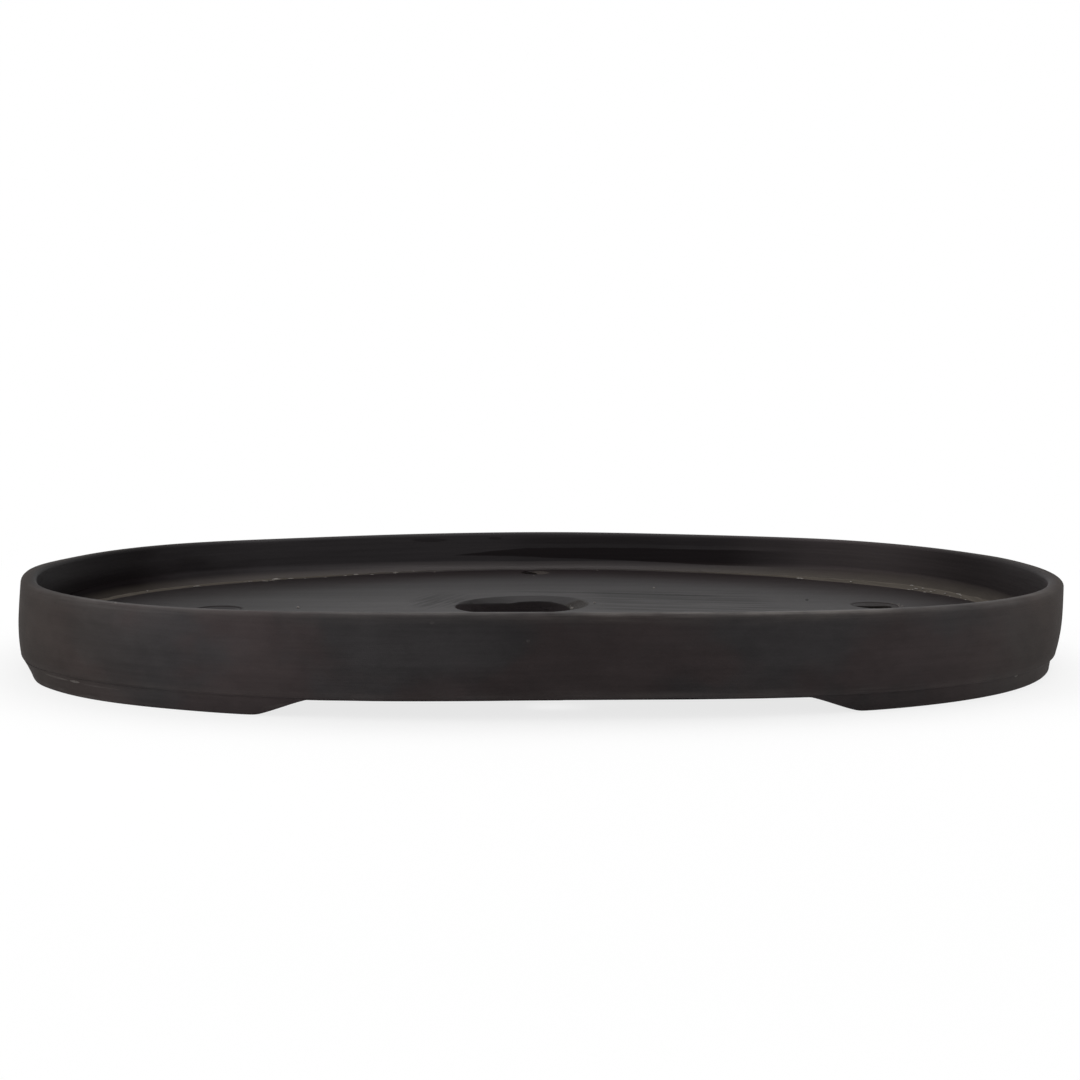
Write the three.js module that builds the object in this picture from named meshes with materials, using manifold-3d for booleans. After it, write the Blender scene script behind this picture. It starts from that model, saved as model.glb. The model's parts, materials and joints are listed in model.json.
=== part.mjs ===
// Shallow oval bonsai pot in unglazed stoneware: five clay pieces that are luted together and fired.
// Millimetres, +Z up, +X along the pot's length. The origin is on the table under the pot's middle.

import * as THREE from 'three';
import { mergeVertices } from 'three/addons/utils/BufferGeometryUtils.js';
import Module from 'manifold-3d';

// Overall size and the outline, |x/a|^p + |y/b|^q = 1 at the widest line
const potLength = 600;
const potWidth = 405;
const potHeight = 50;
const lengthwisePower = 2.7;
const crosswisePower = 2.3;

// The wall's section: insets are measured inwards from the outline
const wallThickness = 8;
const wallBaseThickness = 9;
const rimInset = 1.1;
const rimOuterRound = 3;
const rimInnerRound = 2.4;
const bellyRise = 22;
const baseInset = 2.8;
const baseRound = 1.6;

// The floor slab and the cove of clay in the inside corner
const floorThickness = 13.5;
const coveRise = 9;
const coveEndRun = 10;
const coveSideRun = 4;
const coveLengthwisePower = 2.2;
const coveCrosswisePower = 2;
const coveLip = 0.9;
const slipJoint = 0.3;

// The drain holes, cut by hand: margins run from the cove's edge to the hole's edge
const middleDrainLength = 88;
const middleDrainWidth = 60;
const middleDrainShiftX = -10;
const middleDrainShiftY = 9;
const endDrainDiameter = 28;
const leftDrainMargin = 68.5;
const rightDrainMargin = 58.3;
const rightDrainShiftY = 5;
const wireDrainDiameter = 22;
const wireDrainMargin = 9;
const drainEdgeRound = 1.2;

// The crescent feet: their ends rise to the floor in an ogee
const footHeight = 9;
const footWidth = 26;
const footTopInset = 4.2;
const footSoleInset = 5.8;
const footSoleRound = 1.2;
const footGap = 236;
const footToeRun = 19;
const footToeEdge = 0.7;

// How finely the curves are divided
const ovalSteps = 120;
const footSteps = 44;
const toeSteps = 9;
const roundSteps = 4;
const arrisSteps = 2;
const faceSteps = 6;
const coveSteps = 6;
const drainSteps = 36;

const halfLength = potLength / 2;
const halfWidth = potWidth / 2;
const bodyHeight = potHeight - footHeight;
const innerBaseInset = baseInset + wallBaseThickness;
const innerRimInset = rimInset + wallThickness;
const innerFaceHeight = bodyHeight - rimInnerRound;
const coveBackInset = innerInsetAt(floorThickness) + slipJoint;
const coveEdge = {
  a: halfLength - coveBackInset - coveEndRun,
  b: halfWidth - coveBackInset - coveSideRun,
  p: coveLengthwisePower,
  q: coveCrosswisePower,
};

const wasm = await Module();
wasm.setup();

// A number raised to a power with its sign kept
function signedPower(value, power) {
  return Math.sign(value) * Math.abs(value) ** power;
}

// A point of the oval |x/a|^p + |y/b|^q = 1, at a parameter angle
function ovalPoint(angle, { a, b, p, q }) {
  return new THREE.Vector2(a * signedPower(Math.cos(angle), 2 / p), b * signedPower(Math.sin(angle), 2 / q));
}

// A point of the pot's outline and its outward normal, which is the gradient of the oval's equation
function outlineAt(angle) {
  const place = ovalPoint(angle, { a: halfLength, b: halfWidth, p: lengthwisePower, q: crosswisePower });
  const slopeX = signedPower(place.x / halfLength, lengthwisePower - 1) * lengthwisePower / halfLength;
  const slopeY = signedPower(place.y / halfWidth, crosswisePower - 1) * crosswisePower / halfWidth;
  return { place, normal: new THREE.Vector2(slopeX, slopeY).normalize() };
}

// The parameter angle at which the outline is a given distance from the pot's middle along X
function angleAtX(x) {
  return Math.acos((x / halfLength) ** (lengthwisePower / 2));
}

// A section point, given as inset and height, carried to the outline at a parameter angle
function carry(angle, inset, height) {
  const { place, normal } = outlineAt(angle);
  return new THREE.Vector3(place.x - normal.x * inset, place.y - normal.y * inset, height);
}

// Points of an arc in a section, from one bearing to another, both ends included
function sectionArc(centreInset, centreHeight, radius, from, to, steps = roundSteps) {
  return Array.from({ length: steps + 1 }, (_, i) => {
    const bearing = THREE.MathUtils.degToRad(THREE.MathUtils.lerp(from, to, i / steps));
    const inset = centreInset + radius * Math.cos(bearing);
    return new THREE.Vector2(inset, centreHeight + radius * Math.sin(bearing));
  });
}

// How far the wall's inner face is inset at a height over the body's underside
function innerInsetAt(height) {
  return THREE.MathUtils.lerp(innerBaseInset, innerRimInset, height / innerFaceHeight);
}

// How far the wall's outer face is inset at a height: none at the belly, more towards base and rim
function outerInsetAt(height) {
  if (height < bellyRise) return baseInset * (1 - height / bellyRise) ** 2;
  return rimInset * ((height - bellyRise) / (bodyHeight - bellyRise)) ** 2;
}

// A closed solid through rings of points: joined end to end in a loop, or capped at both ends
function loft(rings, looped) {
  const perRing = rings[0].length;
  const positions = rings.flat().flatMap((point) => point.toArray());
  const triangles = [];
  const spans = looped ? rings.length : rings.length - 1;
  for (let ring = 0; ring < spans; ring += 1) {
    const here = ring * perRing;
    const next = ((ring + 1) % rings.length) * perRing;
    for (let i = 0; i < perRing; i += 1) {
      const j = (i + 1) % perRing;
      triangles.push(here + i, next + i, next + j, here + i, next + j, here + j);
    }
  }
  if (!looped) {
    const last = (rings.length - 1) * perRing;
    for (let i = 1; i < perRing - 1; i += 1) {
      triangles.push(0, i, i + 1);
      triangles.push(last, last + i + 1, last + i);
    }
  }
  const geometry = new THREE.BufferGeometry();
  geometry.setAttribute('position', new THREE.Float32BufferAttribute(positions, 3));
  geometry.setIndex(triangles);
  geometry.computeVertexNormals();
  return geometry;
}

// The parameter angles at which a ring that goes all the way round is divided
function ringAngles() {
  return Array.from({ length: ovalSteps }, (_, i) => (i / ovalSteps) * Math.PI * 2);
}

function toSolid(geometry) {
  const bare = geometry.clone();
  bare.deleteAttribute('normal');
  bare.deleteAttribute('uv');
  const merged = mergeVertices(bare, 1e-4);
  return new wasm.Manifold(new wasm.Mesh({
    numProp: 3,
    vertProperties: new Float32Array(merged.getAttribute('position').array),
    triVerts: new Uint32Array(merged.getIndex().array),
  }));
}

function toGeometry(solid) {
  const mesh = solid.getMesh();
  const geometry = new THREE.BufferGeometry();
  geometry.setAttribute('position', new THREE.BufferAttribute(mesh.vertProperties, 3));
  geometry.setIndex(new THREE.BufferAttribute(mesh.triVerts, 1));
  geometry.computeVertexNormals();
  return geometry;
}

// The wall: up the outer face from its rounded foot, over the soft rim and down the inner face
function wallGeometry() {
  const rimCentre = bodyHeight - rimOuterRound;
  const outerFace = Array.from({ length: faceSteps + 1 }, (_, i) => {
    const height = THREE.MathUtils.lerp(baseRound, rimCentre, i / faceSteps);
    return new THREE.Vector2(outerInsetAt(height), height);
  });
  const lowerRound = sectionArc(outerInsetAt(baseRound) + baseRound, baseRound, baseRound, 270, 180);
  const rimOuter = sectionArc(outerInsetAt(rimCentre) + rimOuterRound, rimCentre, rimOuterRound, 180, 90);
  const rimInner = sectionArc(innerRimInset - rimInnerRound, innerFaceHeight, rimInnerRound, 90, 0);
  const section = [
    ...lowerRound,
    ...outerFace.slice(1),
    ...rimOuter.slice(1),
    ...rimInner,
    new THREE.Vector2(innerBaseInset, 0),
  ];
  const rings = ringAngles().map((angle) => section.map((point) => carry(angle, point.x, point.y)));
  return loft(rings, true);
}

// A cutter for one drain hole, with its top and bottom edges flared to leave a rounded arris
function drainCutter(length, width) {
  const radius = width / 2;
  const clearance = floorThickness;
  const flare = radius + drainEdgeRound;
  const lowerEdge = sectionArc(flare, drainEdgeRound, drainEdgeRound, 270, 180, arrisSteps);
  const upperEdge = sectionArc(flare, floorThickness - drainEdgeRound, drainEdgeRound, 180, 90, arrisSteps);
  const profile = [
    new THREE.Vector2(0, -clearance),
    new THREE.Vector2(flare, -clearance),
    ...lowerEdge,
    ...upperEdge,
    new THREE.Vector2(flare, floorThickness + clearance),
    new THREE.Vector2(0, floorThickness + clearance),
  ];
  const cutter = new THREE.LatheGeometry(profile, drainSteps);
  cutter.rotateX(Math.PI / 2);
  cutter.scale(length / width, 1, 1);
  return cutter;
}

// Where the drains lie: one oval in the middle, one at each end, one behind and one in front for wires
function drains() {
  const leftX = -(coveEdge.a - leftDrainMargin - endDrainDiameter / 2);
  const rightX = coveEdge.a - rightDrainMargin - endDrainDiameter / 2;
  const wireY = coveEdge.b - wireDrainMargin - wireDrainDiameter / 2;
  return [
    { x: middleDrainShiftX, y: middleDrainShiftY, length: middleDrainLength, width: middleDrainWidth },
    { x: leftX, y: 0, length: endDrainDiameter, width: endDrainDiameter },
    { x: rightX, y: rightDrainShiftY, length: endDrainDiameter, width: endDrainDiameter },
    { x: 0, y: wireY, length: wireDrainDiameter, width: wireDrainDiameter },
    { x: 0, y: -wireY, length: wireDrainDiameter, width: wireDrainDiameter },
  ];
}

// The floor: a slab that fits inside the wall with a slip joint, pierced by its drains
function floorGeometry() {
  const inset = innerBaseInset + slipJoint;
  const edge = ringAngles().map((angle) => {
    const point = carry(angle, inset, 0);
    return new THREE.Vector2(point.x, point.y);
  });
  const plan = new THREE.Shape(edge);
  const slab = new THREE.ExtrudeGeometry(plan, { depth: floorThickness, bevelEnabled: false });
  let solid = toSolid(slab);
  for (const drain of drains()) {
    const cutter = drainCutter(drain.length, drain.width).translate(drain.x, drain.y, 0);
    solid = solid.subtract(toSolid(cutter));
  }
  return toGeometry(solid);
}

// The cove: a hollow quarter curve from the wall's inner face down to a thin lip on the floor. The lip
// follows an oval of its own, plainer than the pot's, so the cove is widest at the four shoulders.
function coveGeometry() {
  const top = floorThickness + coveRise;
  const topInset = innerInsetAt(top) + slipJoint;
  const rings = ringAngles().map((angle) => {
    const edge = ovalPoint(angle, coveEdge);
    const upper = carry(angle, topInset + coveLip, top);
    const hollow = Array.from({ length: coveSteps + 1 }, (_, i) => {
      const bearing = (i / coveSteps) * Math.PI / 2;
      const reach = 1 - Math.cos(bearing);
      const x = THREE.MathUtils.lerp(upper.x, edge.x, reach);
      const y = THREE.MathUtils.lerp(upper.y, edge.y, reach);
      return new THREE.Vector3(x, y, top - (coveRise - coveLip) * Math.sin(bearing));
    });
    return [
      carry(angle, coveBackInset, floorThickness),
      carry(angle, topInset, top),
      ...hollow,
      new THREE.Vector3(edge.x, edge.y, floorThickness),
    ];
  });
  return loft(rings, true);
}

// How high the foot's underside is at a distance in from the tip of its toe: an ogee down to the sole
function toeRise(distance) {
  const share = THREE.MathUtils.clamp(distance / footToeRun, 0, 1);
  return (footHeight - footToeEdge) * (1 - THREE.MathUtils.smoothstep(share, 0, 1));
}

// One foot: its section carried round the right-hand end of the pot, from front toe to back toe
function footGeometry() {
  const toeAngle = angleAtX(footGap / 2);
  const heelAngle = angleAtX(footGap / 2 + footToeRun);
  const { lerp } = THREE.MathUtils;
  const toe = Array.from({ length: toeSteps }, (_, i) => lerp(toeAngle, heelAngle, i / toeSteps));
  const frontToe = toe.map((angle) => -angle);
  const backToe = toe.toReversed();
  const heel = Array.from({ length: footSteps + 1 }, (_, i) => lerp(-heelAngle, heelAngle, i / footSteps));
  const angles = [...frontToe, ...heel, ...backToe];
  const rings = angles.map((angle) => {
    const rise = toeRise(outlineAt(angle).place.x - footGap / 2);
    const soft = Math.min(footSoleRound, (footHeight - rise) / 2);
    const lean = (footSoleInset - footTopInset) * (footHeight - rise) / footHeight;
    const outer = footTopInset + lean;
    const inner = footTopInset + footWidth - lean;
    const section = [
      new THREE.Vector2(footTopInset, footHeight),
      new THREE.Vector2(footTopInset + footWidth, footHeight),
      ...sectionArc(inner - soft, rise + soft, soft, 0, -90, arrisSteps),
      ...sectionArc(outer + soft, rise + soft, soft, 270, 180, arrisSteps),
    ];
    return section.map((point) => carry(angle, point.x, point.y));
  });
  return loft(rings, false);
}

function clay(colour, roughness) {
  return new THREE.MeshStandardMaterial({ color: colour, roughness, metalness: 0 });
}

function piece(name, geometry, material) {
  const mesh = new THREE.Mesh(geometry, material);
  mesh.name = name;
  return mesh;
}

const body = new THREE.Group();
body.position.z = footHeight;
body.add(piece('side_wall', wallGeometry(), clay(0x3a3331, 0.75)));
body.add(piece('floor_slab', floorGeometry(), clay(0x3d3735, 0.55)));
body.add(piece('corner_coil', coveGeometry(), clay(0x5a5149, 0.7)));

const feet = new THREE.Group();
const foot = footGeometry();
const rightFoot = piece('right_foot', foot, clay(0x382f2c, 0.75));
const leftFoot = piece('left_foot', foot, clay(0x382f2c, 0.75));
leftFoot.rotation.z = Math.PI;
feet.add(rightFoot, leftFoot);

const pot = new THREE.Group();
pot.add(body, feet);

export default pot;
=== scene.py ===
"""An oval bonsai pot in dark unglazed stoneware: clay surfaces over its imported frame, and a small studio."""

import json
import math
from typing import NamedTuple

import bpy
import numpy as np
from bpy.props import FloatProperty, FloatVectorProperty, IntProperty, PointerProperty
from mathutils import Matrix, Vector
from mathutils.geometry import delaunay_2d_cdt


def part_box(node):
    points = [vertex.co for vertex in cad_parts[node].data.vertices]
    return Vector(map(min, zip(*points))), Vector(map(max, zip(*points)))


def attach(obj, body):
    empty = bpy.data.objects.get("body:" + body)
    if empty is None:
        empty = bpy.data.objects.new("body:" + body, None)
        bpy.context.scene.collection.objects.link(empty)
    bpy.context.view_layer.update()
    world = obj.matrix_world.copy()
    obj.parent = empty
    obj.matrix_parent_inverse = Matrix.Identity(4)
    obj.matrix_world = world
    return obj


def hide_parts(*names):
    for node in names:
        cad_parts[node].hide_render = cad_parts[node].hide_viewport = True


bl_info = {
    "name": "Oval Bonsai Pot",
    "version": (1, 0, 0),
    "blender": (4, 5, 0),
    "location": "3D View > Sidebar > Bonsai Pot",
    "description": "Builds the clay pieces of a shallow oval bonsai pot, their finishes and a small studio",
    "category": "Add Mesh",
}

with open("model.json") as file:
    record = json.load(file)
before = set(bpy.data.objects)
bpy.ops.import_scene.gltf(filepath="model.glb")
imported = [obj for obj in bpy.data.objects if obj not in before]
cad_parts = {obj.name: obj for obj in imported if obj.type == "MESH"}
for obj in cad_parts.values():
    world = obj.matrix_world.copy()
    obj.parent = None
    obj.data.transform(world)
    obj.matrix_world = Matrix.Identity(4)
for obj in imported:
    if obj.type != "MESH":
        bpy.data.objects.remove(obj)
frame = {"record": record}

TAU = 2 * math.pi
MM = 0.001

WALL_LOW, WALL_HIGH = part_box("side_wall")
FLOOR_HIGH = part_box("floor_slab")[1]
COVE_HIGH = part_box("corner_coil")[1]
OPENINGS = {opening["name"]: opening["box_m"] for opening in frame["record"]["physics"]["openings"]}


def length(name, description, default, low=0.0, high=1.0):
    """A length in metres that a user can change."""
    return FloatProperty(
        name=name, description=description, default=default, min=low, max=high, unit="LENGTH", precision=5
    )


def share(name, description, default, high=1.0):
    """A plain number from nothing up to a highest value."""
    return FloatProperty(name=name, description=description, default=default, min=0.0, max=high, precision=4)


def angle(name, description, degrees):
    """An angle, given in degrees."""
    return FloatProperty(name=name, description=description, default=math.radians(degrees), unit="ROTATION")


def tint(name, description, default):
    """A colour in linear light."""
    return FloatVectorProperty(
        name=name, description=description, default=default, size=3, min=0.0, max=1.0, subtype="COLOR"
    )


class PotSizes(bpy.types.PropertyGroup):
    """Sizes of the clay pieces, with the outer ones taken from the frame."""

    half_length: length("Half length", "From the middle to the outside of an end", WALL_HIGH.x)
    half_width: length("Half width", "From the middle to the outside of a long side", WALL_HIGH.y)
    rim_height: length("Rim height", "From the table to the top of the rim", WALL_HIGH.z)
    foot_height: length("Foot height", "From the table to the underside of the body", WALL_LOW.z)
    floor_height: length("Floor height", "From the table to the planting floor", FLOOR_HIGH.z)
    end_power: share("End power", "How square the oval is towards its ends", 2.7, 8)
    side_power: share("Side power", "How square the oval is towards its sides", 2.3, 8)
    rim_width: length("Rim width", "Thickness of the wall at the rim", 8 * MM)
    base_width: length("Base width", "Thickness of the wall at its base", 9 * MM)
    rim_draw: length("Rim draw", "How far the wall draws in from the belly to the rim", 1.1 * MM)
    base_draw: length("Base draw", "How far the wall draws in from the belly to its base", 2.8 * MM)
    belly_rise: length("Belly rise", "Height of the widest part over the underside of the body", 22 * MM)
    rim_outer_round: length("Outer rim round", "Radius of the rim's outer edge", 3 * MM)
    rim_inner_round: length("Inner rim round", "Radius of the rim's inner edge", 2.4 * MM)
    rim_crown: length("Rim crown", "How far the middle of the rim stands over its edges", 0.25 * MM)
    base_round: length("Base round", "Radius of the wall's lower edge", 1.6 * MM)
    floor_inset: length("Floor inset", "From the outside to the edge of the slab", WALL_HIGH.x - FLOOR_HIGH.x)
    stations: IntProperty(name="Stations", description="Steps round the oval", default=960, min=120, max=1400)
    warp: share("Warp", "How much of the kiln's slight warp the pot shows", 1.0, 3)


class CoveSizes(bpy.types.PropertyGroup):
    """Sizes of the clay cove in the inside corner."""

    height: length("Height", "From the planting floor to the top of the cove", COVE_HIGH.z - FLOOR_HIGH.z)
    half_length: length("Half length", "From the middle to the cove's edge at an end", 278.8 * MM)
    half_width: length("Half width", "From the middle to the cove's edge at a long side", 187.3 * MM)
    end_power: share("End power", "How square the edge's oval is towards its ends", 2.05, 8)
    side_power: share("Side power", "How square the edge's oval is towards its sides", 1.93, 8)
    crest_low: length("Crest at the sides", "Height over the floor of the crest that the tool left", 0.9 * MM)
    crest_left: length("Crest at the left", "Height of the crest towards the left end", 1.4 * MM)
    crest_right: length("Crest at the right", "Height of the crest towards the right end", 2.7 * MM)
    drawn: length("Drawn edge", "How far the edge lies back at the back right", 7 * MM)
    crest_back: share("Crest set-back", "From the edge to the crest, as a share of its height", 0.6, 2)
    burr: length("Burr", "Height of the burr along the crest", 0.25 * MM)
    burr_width: length("Burr width", "Half width of the burr", 0.5 * MM)


class DrainSizes(bpy.types.PropertyGroup):
    """Sizes of the drain holes. Their places come from the frame, moved a little as the cutting hand did."""

    middle_length: length("Middle length", "Length of the middle drain's outline on the floor", 85.4 * MM)
    middle_width: length("Middle width", "Width of the middle drain's outline on the floor", 76 * MM)
    end_width: length("End width", "Diameter of the drains towards the ends", 28 * MM)
    wire_width: length("Wire hole", "Diameter of the wire holes", 23 * MM)
    under_round: length("Under round", "Radius of the holes' lower edges", 1.2 * MM)
    collar: length("Collar", "Width of the even ring of faces round each hole", 1.6 * MM)
    spacing: length("Spacing", "Distance between the points of the floor", 3.2 * MM, 1 * MM)


class FootSizes(bpy.types.PropertyGroup):
    """Sizes of the two crescent feet."""

    width: length("Width", "Width of the foot across its top", 26 * MM)
    top_inset: length("Top inset", "From the outside of the pot to the foot's top edge", 4.2 * MM)
    sole_inset: length("Sole inset", "From the outside of the pot to the sole", 5.8 * MM)
    sole_round: length("Sole round", "Radius of the sole's edges", 1.4 * MM)
    toe_edge: length("Toe edge", "Thickness of the tip of a toe", 0.7 * MM)
    left_toe: length("Left toes", "From the middle of the pot to the left toes' tips", 117.5 * MM)
    right_toe: length("Right toes", "From the middle of the pot to the right toes' tips", 116.5 * MM)
    left_run: length("Left toe run", "Length of the slope from a left toe's tip to the sole", 25 * MM)
    right_run: length("Right toe run", "Length of the slope from a right toe's tip to the sole", 26.5 * MM)
    toe_soft: share("Toe softness", "How soft a toe's lower corner is, as a share of its slope", 0.09)
    seam_rise: length("Seam rise", "How far up the wall the clay is smeared over the seam", 2 * MM)
    left_tuck: length("Left tuck", "How far the left foot's top edge draws in round the end", -1 * MM, -0.01)
    right_tuck: length("Right tuck", "How far the right foot's top edge draws in round the end", 0.6 * MM)
    left_swell: length("Left swell", "How far the left foot's sole stands out beside the end", 2.3 * MM)
    right_swell: length("Right swell", "How far the right foot's sole stands out beside the end", 0.3 * MM)
    sole_draw: length("Sole draw", "How far the left foot's sole draws in again at the end", 4.0 * MM)
    stations: IntProperty(name="Stations", description="Steps round each foot", default=520, min=60, max=900)


class ClayTints(bpy.types.PropertyGroup):
    """Colours of the fired clay, in linear light."""

    body: tint("Body", "The fired body", (0.0262, 0.0244, 0.0252))
    warm: tint("Warm", "Redder patches of the body", (0.0300, 0.0240, 0.0242))
    ends: tint("Ends", "The warmer body round both ends", (0.0380, 0.0305, 0.0272))
    # Paler tint for arrises pale from wear, and for the painted highlight along the front of the rim.
    rubbed_and_highlight: tint("Rubbed", "Arrises rubbed paler", (0.066, 0.058, 0.054))
    floor: tint("Floor", "The smoothed planting floor", (0.0185, 0.0166, 0.0171))
    # The border's redder hue is the clay's own; its darkness is painted shade near the wall.
    border: tint("Border", "The redder, darker border of the floor", (0.0215, 0.0160, 0.0166))
    inside: tint("Inside", "The smoothed inner face", (0.0300, 0.0270, 0.0284))
    # This tint serves the real dark smears and also the painted shade on the inner face's left end.
    smear_and_shade: tint("Burnt", "Darker smears and the shaded left of the inner face", (0.0080, 0.0057, 0.0063))
    # Painted light: this paler tint stands for light on the cove's hollow where it faces upwards.
    painted_hollow_light: tint("Pressed", "The cove's paler hollow at the back", (0.058, 0.052, 0.052))
    slip: tint("Slip", "Dried slip along the cove", (0.088, 0.077, 0.066))
    deep: tint("Deep", "Clay deep in the drains", (0.0175, 0.0143, 0.0150))
    cut: tint("Cut clay", "Torn clay on the knife's slant", (0.020, 0.017, 0.0152))
    grit: tint("Grit", "Pale grit and crumbs", (0.22, 0.205, 0.19))


class StudioSetup(bpy.types.PropertyGroup):
    """The camera, the lamps and the backdrop."""

    camera_place: FloatVectorProperty(
        name="Camera", description="Where the camera stands", size=3, default=(-0.0354, -0.7474, 0.1345),
        subtype="TRANSLATION", unit="LENGTH",
    )
    camera_turn: angle("Turn", "Turn of the view from the pot's depth", 2.574)
    camera_dip: angle("Dip", "Angle of the view below the level", 5.387)
    camera_roll: angle("Roll", "Tilt of the camera about its view", 0.239)
    lens: share("Lens", "Focal length in millimetres on a 36 mm sensor", 41.06, 200)
    left_power: share("Left lamp", "Power of the large soft lamp on the left, in watts", 9, 500)
    right_power: share("Right lamp", "Power of the soft lamp on the right, in watts", 6.5, 500)
    top_power: share("Top lamp", "Power of the soft lamp overhead, in watts", 9, 500)
    ambient: share("Ambient", "Strength of the room's even light", 0.5, 5)
    room_sheen: share("Room sheen", "Brightness of the dim side of the room in reflections", 0.22, 5)
    backdrop_sheen: share("Backdrop sheen", "Brightness of the backdrop in reflections", 1.0, 5)
    shadow_share: share("Shadow", "How much of the floor's own shading shows beside the object", 0.22)


def signed_power(values, power):
    """Each value's size raised to a power, with its sign kept."""
    return np.sign(values) * np.abs(values) ** power


def smooth(low, high, values):
    """A soft step from 0 at low to 1 at high."""
    part = np.clip((values - low) / (high - low), 0, 1)
    return part * part * (3 - 2 * part)


def hump(values, centre, half_width):
    """A soft hump, 1 at its centre, that falls off as a bell curve does."""
    return np.exp(-(((values - centre) / half_width) ** 2))


def humps(values, *rows):
    """A sum of soft humps, each given as its height, centre and half width."""
    return sum(height * hump(values, centre, half_width) for height, centre, half_width in rows)


class Stations:
    """Stations on the oval |x/a|^p + |y/b|^q = 1. Its point at a turn t is (a cos^(2/p) t, b sin^(2/q) t).
    normal is the direction of its gradient, and along is the distance covered from the right-hand end."""

    SAMPLES = 24000

    def __init__(self, pot, turns):
        self.turn = turns
        x = pot.half_length * signed_power(np.cos(turns), 2 / pot.end_power)
        y = pot.half_width * signed_power(np.sin(turns), 2 / pot.side_power)
        self.place = np.stack((x, y), 1)
        slope_x = signed_power(x / pot.half_length, pot.end_power - 1) * pot.end_power / pot.half_length
        slope_y = signed_power(y / pot.half_width, pot.side_power - 1) * pot.side_power / pot.half_width
        slope = np.stack((slope_x, slope_y), 1)
        self.normal = slope / np.linalg.norm(slope, axis=1)[:, None]
        self.along = np.concatenate(([0], np.cumsum(np.linalg.norm(np.diff(self.place, axis=0), axis=1))))

    @classmethod
    def even(cls, pot, first, last, count, closed=False):
        """Stations spaced evenly along the oval from one turn to another."""
        dense = cls(pot, np.linspace(first, last, cls.SAMPLES + 1))
        steps = np.linspace(0, dense.along[-1], count + 1)
        turns = np.interp(steps, dense.along, dense.turn)
        return cls(pot, turns[:-1] if closed else turns)

    def turn_at(self, x):
        """The turn in the back right quarter at which the oval is x from the middle."""
        quarter = self.turn <= TAU / 4
        return np.interp(-x, -self.place[quarter, 0], self.turn[quarter])

    def carry(self, inset, height):
        """Section points carried round the oval: each is its station's place, moved in by its inset along
        the normal and up to its height. Both arrays have a row for each station and a column for each
        point."""
        flat = self.place[:, None, :] - self.normal[:, None, :] * inset[..., None]
        return np.concatenate((flat, np.broadcast_to(height, inset.shape)[..., None]), 2)


def unevenness(turn, *waves):
    """A hand-made unevenness round the pot: a sum of cosines, each given as its size, count and start."""
    size, count, start = np.array(waves).T
    return (np.cos(np.outer(turn, count) + start) * size).sum(1)


def arc(centre, radius, first, last, steps):
    """Section points along an arc, from one bearing in degrees to another."""
    bearing = np.radians(np.linspace(first, last, steps + 1))
    return np.stack((centre[0] + radius * np.cos(bearing), centre[1] + radius * np.sin(bearing)), 1)


def section_reach(section):
    """How far along the section each of its points lies."""
    return np.concatenate(([0], np.cumsum(np.linalg.norm(np.diff(section, axis=0), axis=1))))


def numbered(rows, columns, first=0):
    """The numbers of a grid of points that are stored row by row."""
    return np.arange(rows * columns).reshape(rows, columns) + first


def quads(numbers, loop_rows=False, loop_columns=False):
    """Four-sided faces between neighbours in a grid of point numbers, whose rows or columns may be loops."""
    if loop_rows:
        numbers = np.concatenate((numbers, numbers[:1]))
    if loop_columns:
        numbers = np.concatenate((numbers, numbers[:, :1]), 1)
    corners = (numbers[:-1, :-1], numbers[1:, :-1], numbers[1:, 1:], numbers[:-1, 1:])
    return np.stack(corners, -1).reshape(-1, 4)


def cap_faces(ring):
    """Triangles that close a ring of points by a zigzag between its two sides."""
    count = len(ring)
    low, high = np.arange(count // 2), count - 1 - np.arange(count // 2)
    first = np.stack((ring[low[:-1]], ring[low[1:]], ring[high[:-1]]), 1)
    second = np.stack((ring[low[1:]], ring[high[1:]], ring[high[:-1]]), 1)
    middle = np.array([[ring[low[-1]], ring[low[-1] + 1], ring[high[-1]]]])
    return np.concatenate((first, second, middle)[: 3 if count % 2 else 2])


def volume(points, faces):
    """Volume inside faces that turn outwards: the sum of the pyramids from the origin to each face."""
    corner = points[faces]
    fans = range(1, faces.shape[1] - 1)
    sides = (np.cross(corner[:, k], corner[:, k + 1]) for k in fans)
    return sum(np.einsum("ij,ij->i", corner[:, 0], side).sum() for side in sides) / 6


def kiln_warp(pot, points):
    """How far the kiln's slight warp moves each point, in x, y and z, worked out in millimetres. Rim and
    base rise or sag in soft humps along the front and the back, and the rim lifts at both ends. The left
    end's base hangs and moves out, and its rim moves in at the front and out at the back. The front of the
    right end's rim moves out. A point between rim and base rises by a share of both that goes with its
    height, and the soles stay on the table."""
    x, y, z = points.T / MM
    back = smooth(-120, 120, y)
    rim_back = humps(x, (1.6, 15, 100), (-1.1, -200, 80), (0.5, 235, 45))
    rim_front = humps(x, (-1.6, 200, 120), (-0.7, -190, 90))
    base_back = humps(x, (0.6, 15, 100), (-0.75, -160, 90))
    base_front = humps(x, (1.3, 5, 115), (0.4, -200, 70), (-0.4, 205, 80))
    end_lift = 1.4 * smooth(-262, -294, x) * smooth(-100, -50, y) * (1 - smooth(-40, 50, y))
    end_lift += 0.55 * smooth(272, 296, x) * smooth(-100, -10, y) * (1 - 0.9 * smooth(20, 80, y))
    rim = rim_front + (rim_back - rim_front) * back + end_lift
    base = base_front + (base_back - base_front) * back - 0.9 * smooth(-240, -290, x) * (1 - back)
    height = np.clip((z * MM - pot.foot_height) / (pot.rim_height - pot.foot_height), 0, 1)
    rise = (base + (rim - base) * height) * np.clip(z * MM / pot.foot_height, 0, 1)
    upright = np.sin(math.pi / 2 * height) * (1 - smooth(-80, 5, y) * smooth(0.6, 1, height))
    lean = smooth(-180, -290, x) * (2.9 * upright - 1.7)
    lean += 1.8 * smooth(180, 290, x) * height ** 3 * (1 - smooth(0, 60, y))
    return pot.warp * MM * np.stack((lean, 0 * lean, rise), 1)


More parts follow.
